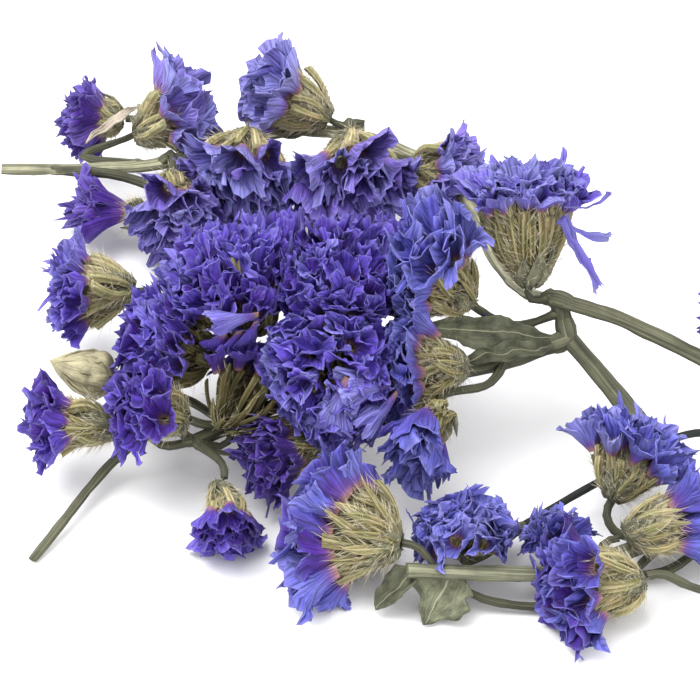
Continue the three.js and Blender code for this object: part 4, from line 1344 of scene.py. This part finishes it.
class STATICE_OT_calyces(bpy.types.Operator):
    """Make the ribbed calyx tubes of every flower head, with their hairs and bracts"""

    bl_idname = "statice.calyces"
    bl_label = "Calyx tubes"

    def execute(self, context):
        settings = context.scene.statice_calyces
        mouth = settings.mouth / MM
        meshes = [tube_mesh(f"tube_form_{i}", TUBE_SEED + i, mouth) for i in range(TUBE_FORMS)]
        meshes += [bract_mesh(f"bract_form_{i}", BRACT_SEED + i) for i in range(BRACT_FORMS)]
        meshes += [
            tube_mesh(f"shut_tube_form_{i}", TUBE_SEED + i, mouth, SHUT_PINCH)
            for i in range(TUBE_FORMS)
        ]
        forms = form_collection("foot_form", meshes)
        hair_form = hair_mesh("hair_form", settings.hair_length / MM, settings.hair_width / MM)
        hair = bpy.data.objects.new("hair_form", hair_form)
        tree = foot_tree()
        finishes = {
            "Tube finish": tube_paper(settings),
            "Bract finish": dry_blade("bract", settings.bract),
            "Hair finish": plain_hair(settings),
        }
        for i, name in enumerate(HEADS):
            points = points_object(f"{name}_calyx_tubes", tube_placings(name))
            share = FEW_HAIRS_SHARE if name in FEW_HAIRS else 1
            inputs = {
                "Forms": forms,
                "Hair": hair,
                "Hairs per square metre": settings.hairs * SQUARE_CENTIMETRES_PER_METRE * share,
                "Hair lean": HAIR_LEAN,
                "Seed": i,
                **finishes,
            }
            piece = grow(points, tree, inputs)
            reshape(piece.data, pressed, name)
            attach(piece, BODY)
            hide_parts(f"{name}_tubes")
        drop_forms(forms)
        bpy.data.objects.remove(hair)
        return {"FINISHED"}


# Stems

# The outline that is swept along a stem: its points, how sharply it is drawn out into wings, and
# how many ridges run along it
SECTION_POINTS = 20
WING_PINCH = 1.35
WINGED_RIDGES = 8.0
ROUND_RIDGES = 5.0
# Distance from one dent to the next
DENT_WIDTH = 3.0 * MM
# Dents in the wiry twig and in the knots, next to those in other stems
WIRY_DENTS = 0.25
KNOT_DENTS = 1.5
# How strongly the dark edge shows on each kind of stem
EDGE, FAINT_EDGE, NO_EDGE = 0.85, 0.5, 0.0
# How much darker twigs are than stems, and the near black of the wiry twig
TWIG_SHADE = 0.7
WIRY_BARK = (0.022, 0.026, 0.022)
WIRY_EDGE = (0.01, 0.01, 0.01)
# How far apart the outlines stand along a stem and along a knot
STEM_SPACING = 1.0
KNOT_SPACING = 0.4
# A knot where a stem starts: places along it and its girth there, both in radii
KNOT = ((-0.8, 0.6), (-0.2, 1.05), (0.5, 1.2), (1.7, 1.05), (3.2, 0.5))


def stem_tree():
    """A ridged or winged section swept along curves, shrivelled a little, with its bark."""
    tree, given, result = group(
        "Stem along a path",
        {
            "Wing reach": "Float",
            "Body depth": "Float",
            "Pinch": "Float",
            "Ridges": "Float",
            "Ridge depth": "Float",
            "Dent depth": "Float",
            "Dent width": "Float",
            "Bark": "Material",
        },
    )
    along = add(tree, "GeometryNodeSplineParameter").outputs["Length"]
    path = stored(tree, given["Geometry"], "along", along, "FLOAT")
    level = add(tree, "GeometryNodeSetCurveNormal", {"Curve": path}, mode="Z_UP")
    ring = {"Resolution": SECTION_POINTS, "Radius": 1.0}
    circle = add(tree, "GeometryNodeCurvePrimitiveCircle", ring)
    turn = times(tree, add(tree, "GeometryNodeSplineParameter").outputs["Factor"], FULL_TURN)
    cosine = math_node(tree, "COSINE", turn)
    sine = math_node(tree, "SINE", turn)

    def drawn_out(value, half):
        size = math_node(tree, "POWER", math_node(tree, "ABSOLUTE", value), given["Pinch"])
        return times(tree, times(tree, math_node(tree, "SIGN", value), size), half)

    ridge = math_node(tree, "COSINE", times(tree, turn, given["Ridges"]))
    swell = plus(tree, 1.0, times(tree, ridge, given["Ridge depth"]))
    wide = times(tree, drawn_out(cosine, given["Wing reach"]), swell)
    deep = times(tree, drawn_out(sine, given["Body depth"]), swell)
    sockets = {"Geometry": circle.outputs[0], "Position": together(tree, wide, deep, 0.0)}
    section = add(tree, "GeometryNodeSetPosition", sockets).outputs[0]
    sockets = {
        "Curve": level.outputs[0],
        "Profile Curve": stored(tree, section, "round", together(tree, cosine, sine, 0.0)),
        "Scale": add(tree, "GeometryNodeInputRadius").outputs[0],
        "Fill Caps": True,
    }
    swept = add(tree, "GeometryNodeCurveToMesh", sockets).outputs[0]
    lengthwise = together(tree, 0.0, 0.0, named(tree, "along", "FLOAT"))
    grain = vector_node(tree, "ADD", named(tree, "round"), lengthwise)
    mapped = stored(tree, swept, "grain", grain)
    sockets = {
        "Vector": add(tree, "GeometryNodeInputPosition").outputs[0],
        "Scale": math_node(tree, "DIVIDE", 1.0, given["Dent width"]),
        "Detail": 3.0,
    }
    dents = add(tree, "ShaderNodeTexNoise", sockets).outputs["Fac"]
    centred = times(tree, math_node(tree, "SUBTRACT", dents, 0.5), 2.0)
    normal = add(tree, "GeometryNodeInputNormal").outputs[0]
    offset = vector_node(tree, "SCALE", normal, times(tree, centred, given["Dent depth"]))
    dented = real(tree, moved(tree, mapped, offset))
    tree.links.new(finished(tree, dented, given["Bark"]), result["Geometry"])
    return tree


def knot_runs():
    """Short swollen runs where a branch or twig leaves the stem that carries it."""
    carried = [branch for name, branch in BRANCHES.items() if name not in ("main", "wiry")]
    starts = [(branch.path, branch.radius[0]) for branch in carried]
    starts += [(twig_path(name), TWIG_RADIUS[0]) for name in TWIGS]
    runs = []
    for path, radius in starts:
        start = np.array(path[0], float)
        way = unit(np.array(path[1]) - start)
        places = [start + way * radius * along for along, _ in KNOT]
        runs.append((places, [radius * girth for _, girth in KNOT]))
    return runs


def curves_object(name, runs, spacing):
    """Curves through the paths of several stems, with the radius of each at every point."""
    data = bpy.data.curves.new(name, "CURVE")
    data.dimensions = "3D"
    for path, girths in runs:
        points, along = curve_through(path, spacing)
        spline = data.splines.new("POLY")
        spline.points.add(len(points) - 1)
        places = (points + BRANCH_SHIFT) * MM
        spline.points.foreach_set("co", np.c_[places, np.ones(len(points))].ravel())
        radii = np.interp(along / along[-1], np.linspace(0, 1, len(girths)), girths) * MM
        spline.points.foreach_set("radius", radii)
    return placed_object(name, data)


class STATICE_OT_stems(bpy.types.Operator):
    """Make the winged stems, the round stems and twigs, and the dark wiry twig"""

    bl_idname = "statice.stems"
    bl_label = "Stems"

    def execute(self, context):
        settings = context.scene.statice_stems
        tree = stem_tree()
        edge = settings.edge
        olive = stem_bark("stem_bark", settings.bark, edge, EDGE)
        front = stem_bark("front_stem_bark", settings.front, edge, FAINT_EDGE)
        pale = stem_bark("pale_stem_bark", settings.pale, edge, FAINT_EDGE)
        twig = stem_bark("twig_bark", [c * TWIG_SHADE for c in settings.bark], edge, NO_EDGE)
        dark = stem_bark("wiry_bark", WIRY_BARK, WIRY_EDGE, NO_EDGE)
        winged = {
            "Wing reach": settings.wing,
            "Body depth": settings.body,
            "Pinch": WING_PINCH,
            "Ridges": WINGED_RIDGES,
            "Ridge depth": settings.ridge,
            "Dent depth": settings.dent,
            "Dent width": DENT_WIDTH,
        }
        rounded = {"Wing reach": 1.0, "Body depth": 1.0, "Pinch": 1.0, "Ridges": ROUND_RIDGES}
        rounded = {**winged, **rounded}
        knotted = {**rounded, "Dent depth": settings.dent * KNOT_DENTS}
        wiry = {**rounded, "Dent depth": settings.dent * WIRY_DENTS}
        runs = {name: (branch.path, branch.radius) for name, branch in BRANCHES.items()}
        apart = {name: [runs.pop(name)] for name in ("front", "wiry")}
        pale_runs = [runs.pop(name) for name in PALE_STEMS]
        winged_runs = [run for name, run in runs.items() if BRANCHES[name].winged]
        round_runs = [run for name, run in runs.items() if not BRANCHES[name].winged]
        round_runs += [(twig_path(name), TWIG_RADIUS) for name in TWIGS]
        pieces = (
            ("winged_stems", winged_runs, STEM_SPACING, winged, olive),
            ("front_stem", apart["front"], STEM_SPACING, winged, front),
            ("pale_stems", pale_runs, STEM_SPACING, winged, pale),
            ("round_stems", round_runs, STEM_SPACING, rounded, twig),
            ("stem_knots", knot_runs(), KNOT_SPACING, knotted, olive),
            ("wiry_twig", apart["wiry"], STEM_SPACING, wiry, dark),
        )
        for name, paths, spacing, sizes, bark in pieces:
            piece = grow(curves_object(name, paths, spacing), tree, {**sizes, "Bark": bark})
            reshape(piece.data, above_table, STEM_CLEARANCE)
            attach(piece, BODY)
            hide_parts("stem")
        return {"FINISHED"}


# Leaves and the bud

# Points across a blade and along it, and its thickness
BLADE_COLUMNS = 15
BLADE_ROWS = 30
BLADE_THICKNESS = 0.2
# How high the midrib stands, and how wide it is next to half the blade
MIDRIB = 0.16
MIDRIB_WIDTH = 0.12
# Creases in a blade: how far apart, and how deep
BLADE_CREASES = ((2.6, 0.3), (1.1, 0.09))
# Blades wider than this bow away from their face, and narrower ones towards it, by this share of
# their length
BOWED_FROM = 3
BLADE_BOW = 0.05
BLADE_SEED = 7
# How much darker the dark blades are than the others
DARK_SHADE = 0.62
# How dark the mottles of the pale pieces are, and the colour of the scales' midribs
PALE_MOTTLE = 0.7
SCALE_MIDRIB = (0.30, 0.30, 0.16)
# Rings of scales from the innermost out: how many, how long next to the bud, and how far they lean
SCALE_RINGS = ((5, 0.98, 0.02), (6, 0.9, 0.07), (6, 0.66, 0.13))
# A scale's width and how far it bulges, both next to the bud's radius
SCALE_WIDTH = 1.5
SCALE_BULGE = 0.85
SCALE_THICKNESS = 0.16
SCALE_COLUMNS, SCALE_ROWS = 9, 14
BUD_SEED = 5


def blade_mesh(name, blade, seed):
    """A dry leaf from its root to its tip, folded, curled and ragged, where the solid's blade is."""
    rng = np.random.default_rng(seed)
    root, tip = np.array(blade.root, float), np.array(blade.tip, float)
    along = tip - root
    long = np.linalg.norm(along)
    x = along / long
    z = unit(np.array(blade.faces) - x * np.dot(blade.faces, x))
    across = np.linspace(-1, 1, BLADE_COLUMNS)[:, None]
    rise = np.linspace(0, 1, BLADE_ROWS)[None, :]
    swell = np.sin(math.pi * rise ** (math.log(0.5) / math.log(blade.broadest))) ** 0.75
    half = blade.width / 2 * np.clip(swell, 0.09 * (1 - rise), None)
    side = np.sign(across)
    edge = np.abs(across) ** 1.5
    frayed = np.sin(9 * rise + 2.2 * side) + 0.6 * np.sin(23 * rise + 4 * side)
    half = half * (1 + blade.ragged * edge * frayed)
    fold = blade.cup * half * np.abs(across) ** 1.2
    curl = 0.16 * half * across**2 * np.sin(3 + 7 * rise + 2 * side)
    vein = MIDRIB * np.exp(-((across / MIDRIB_WIDTH) ** 2))
    bow = BLADE_BOW * long * np.sin(math.pi * rise) * (1 if blade.width > BOWED_FROM else -1)
    reach = long * rise * (1 + 0.1 * blade.ragged * edge * np.sin(31 * across))
    local = np.stack(np.broadcast_arrays(reach, half * across, vein + fold + curl - bow), axis=2)
    for width, deep in BLADE_CREASES:
        local = creased(local, width, deep, rng)
    grid = root + local @ np.stack([x, np.cross(z, x), z]) + BRANCH_SHIFT
    points, faces, corners = thick_sheet(grid, BLADE_THICKNESS, False)
    return mesh_of(name, above_table(points, LEAF_CLEARANCE), faces, corners)


class STATICE_OT_leaves(bpy.types.Operator):
    """Make the dry leaves and bracts on the stems"""

    bl_idname = "statice.leaves"
    bl_label = "Leaves"

    def execute(self, context):
        settings = context.scene.statice_stems
        leaf = dry_blade("leaf", settings.leaf)
        dark = dry_blade("dark_leaf", [c * DARK_SHADE for c in settings.leaf])
        strap = dry_blade("pale_strap", settings.strap, PALE_MOTTLE)
        finishes = {**dict.fromkeys(DARK_BLADES, dark), "pale_strap": strap}
        for i, (name, blade) in enumerate(BLADES.items()):
            piece = placed_object(name, blade_mesh(name, blade, BLADE_SEED + i))
            piece.data.materials.append(finishes.get(name, leaf))
            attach(piece, BODY)
            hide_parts("stem")
        return {"FINISHED"}


def scale_sheet(around, long, lean, ring, rng):
    """One scale of the bud, bulging round it: points in the bud's frame, faces and map corners."""
    points, faces, corners = cupped_blade(
        long, BUD.radius * SCALE_WIDTH, SCALE_THICKNESS, -lean, rng, SCALE_COLUMNS, SCALE_ROWS
    )
    rise = np.clip(points[:, 2] / long, 0, 1)
    bulge = np.sin(rise**0.75 * math.pi) * BUD.radius * SCALE_BULGE
    points[:, 0] += bulge * (0.75 + 0.14 * ring) + 0.15
    cosine, sine = math.cos(around), math.sin(around)
    turn = np.array(((cosine, -sine, 0), (sine, cosine, 0), (0, 0, 1)))
    return points @ turn.T, faces, corners


class STATICE_OT_bud(bpy.types.Operator):
    """Make the closed bud, with its overlapping scales"""

    bl_idname = "statice.bud"
    bl_label = "Bud"

    def execute(self, context):
        settings = context.scene.statice_stems
        rng = np.random.default_rng(BUD_SEED)
        scales = []
        for ring, (count, reach, lean) in enumerate(SCALE_RINGS):
            for i in range(count):
                around = (i + ring * 0.5) * FULL_TURN / count + rng.uniform(-0.15, 0.15)
                long = BUD.length * reach * rng.uniform(0.92, 1.05)
                scales.append(scale_sheet(around, long, lean, ring, rng))
        sheets, face_lists, corner_lists = zip(*scales)
        foot = np.array(BUD.foot) + BRANCH_SHIFT
        points = foot + np.concatenate(sheets) @ frame_at(BUD.faces).T
        starts = np.cumsum([0] + [len(sheet) for sheet in sheets[:-1]])
        faces = [
            [start + corner for corner in face]
            for start, part in zip(starts, face_lists)
            for face in part
        ]
        corners = np.concatenate(corner_lists)
        piece = placed_object("bud_scales", mesh_of("bud_scales", points, faces, corners))
        scale = dry_blade("bud_scale", settings.bud, PALE_MOTTLE, SCALE_MIDRIB)
        piece.data.materials.append(scale)
        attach(piece, BODY)
        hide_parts("bud")
        return {"FINISHED"}


# Stage, in metres

# Width of the camera's sensor, in millimetres, and the nearest and farthest that it sees
SENSOR = 36.0
NEAREST, FARTHEST = 0.01, 20.0
# How high above the table the camera and the lights aim
AIM_HEIGHT = 0.012
# Lights: where each stands, and how wide it is
LIGHTS = {
    "key_light": ((-0.22, -0.05, 0.55), 0.45),
    "fill_light": ((0.30, -0.45, 0.35), 0.6),
}
FLOOR_GREY = 0.9
FLOOR_ROUGHNESS = 0.9


def aimed(name, data, place, aim):
    """An object for a light or a camera, at a place and looking at another."""
    made = placed_object(name, data)
    made.location = place
    made.rotation_euler = (Vector(aim) - Vector(place)).to_track_quat("-Z", "Y").to_euler()
    return made


class STATICE_OT_stage(bpy.types.Operator):
    """Make the floor, the lights and the camera"""

    bl_idname = "statice.stage"
    bl_label = "Stage"

    def execute(self, context):
        settings = context.scene.statice_stage
        scene = context.scene
        half = settings.floor / MM / 2
        corners = [(-half, -half, 0), (half, -half, 0), (half, half, 0), (-half, half, 0)]
        floor = placed_object("floor", mesh_of("floor", corners, [(0, 1, 2, 3)]))
        paper, _, shader = new_material("floor_paper")
        shader.inputs["Base Color"].default_value = opaque([FLOOR_GREY] * 3)
        shader.inputs["Roughness"].default_value = FLOOR_ROUGHNESS
        floor.data.materials.append(paper)
        target = Vector(BRANCH_SHIFT * MM) + Vector((0, 0, AIM_HEIGHT))
        back = Vector((0, -math.cos(settings.elevation), math.sin(settings.elevation)))
        camera = bpy.data.cameras.new("camera")
        camera.sensor_width = SENSOR
        camera.lens = SENSOR * settings.distance / settings.field
        camera.clip_start = NEAREST
        camera.clip_end = FARTHEST
        scene.camera = aimed("camera", camera, target + back * settings.distance, target)
        for name, (place, wide) in LIGHTS.items():
            light = bpy.data.lights.new(name, "AREA")
            light.energy = getattr(settings, name)
            light.size = wide
            aimed(name, light, place, target)
        world = bpy.data.worlds.new("sky")
        world.use_nodes = True
        background = world.node_tree.nodes["Background"]
        background.inputs["Color"].default_value = opaque((1.0, 1.0, 1.0))
        background.inputs["Strength"].default_value = settings.sky
        scene.world = world
        scene.view_settings.view_transform = "Standard"
        return {"FINISHED"}


class STATICE_PT_panel(bpy.types.Panel):
    bl_idname = "STATICE_PT_panel"
    bl_label = "Dried statice branch"
    bl_space_type = "VIEW_3D"
    bl_region_type = "UI"
    bl_category = "Statice"

    def draw(self, context):
        for operator in OPERATORS:
            self.layout.operator(operator.bl_idname)
        for group_name in SETTINGS:
            box = self.layout.box()
            settings = getattr(context.scene, group_name)
            for label in settings.bl_rna.properties.keys():
                if label not in {"rna_type", "name"}:
                    box.prop(settings, label)


SETTINGS = {
    "statice_frills": StaticeFrillSettings,
    "statice_calyces": StaticeCalyxSettings,
    "statice_stems": StaticeStemSettings,
    "statice_stage": StaticeStageSettings,
}
OPERATORS = (
    STATICE_OT_stems,
    STATICE_OT_leaves,
    STATICE_OT_bud,
    STATICE_OT_calyces,
    STATICE_OT_frills,
    STATICE_OT_stage,
)
CLASSES = (*SETTINGS.values(), *OPERATORS, STATICE_PT_panel)


def register():
    for item in CLASSES:
        bpy.utils.register_class(item)
    for name, settings in SETTINGS.items():
        setattr(bpy.types.Scene, name, PointerProperty(type=settings))


def unregister():
    for name in SETTINGS:
        delattr(bpy.types.Scene, name)
    for item in reversed(CLASSES):
        bpy.utils.unregister_class(item)


def main():
    register()
    bpy.ops.statice.stems()
    bpy.ops.statice.leaves()
    bpy.ops.statice.bud()
    bpy.ops.statice.calyces()
    bpy.ops.statice.frills()
    bpy.ops.statice.stage()


if __name__ == "__main__":
    main()
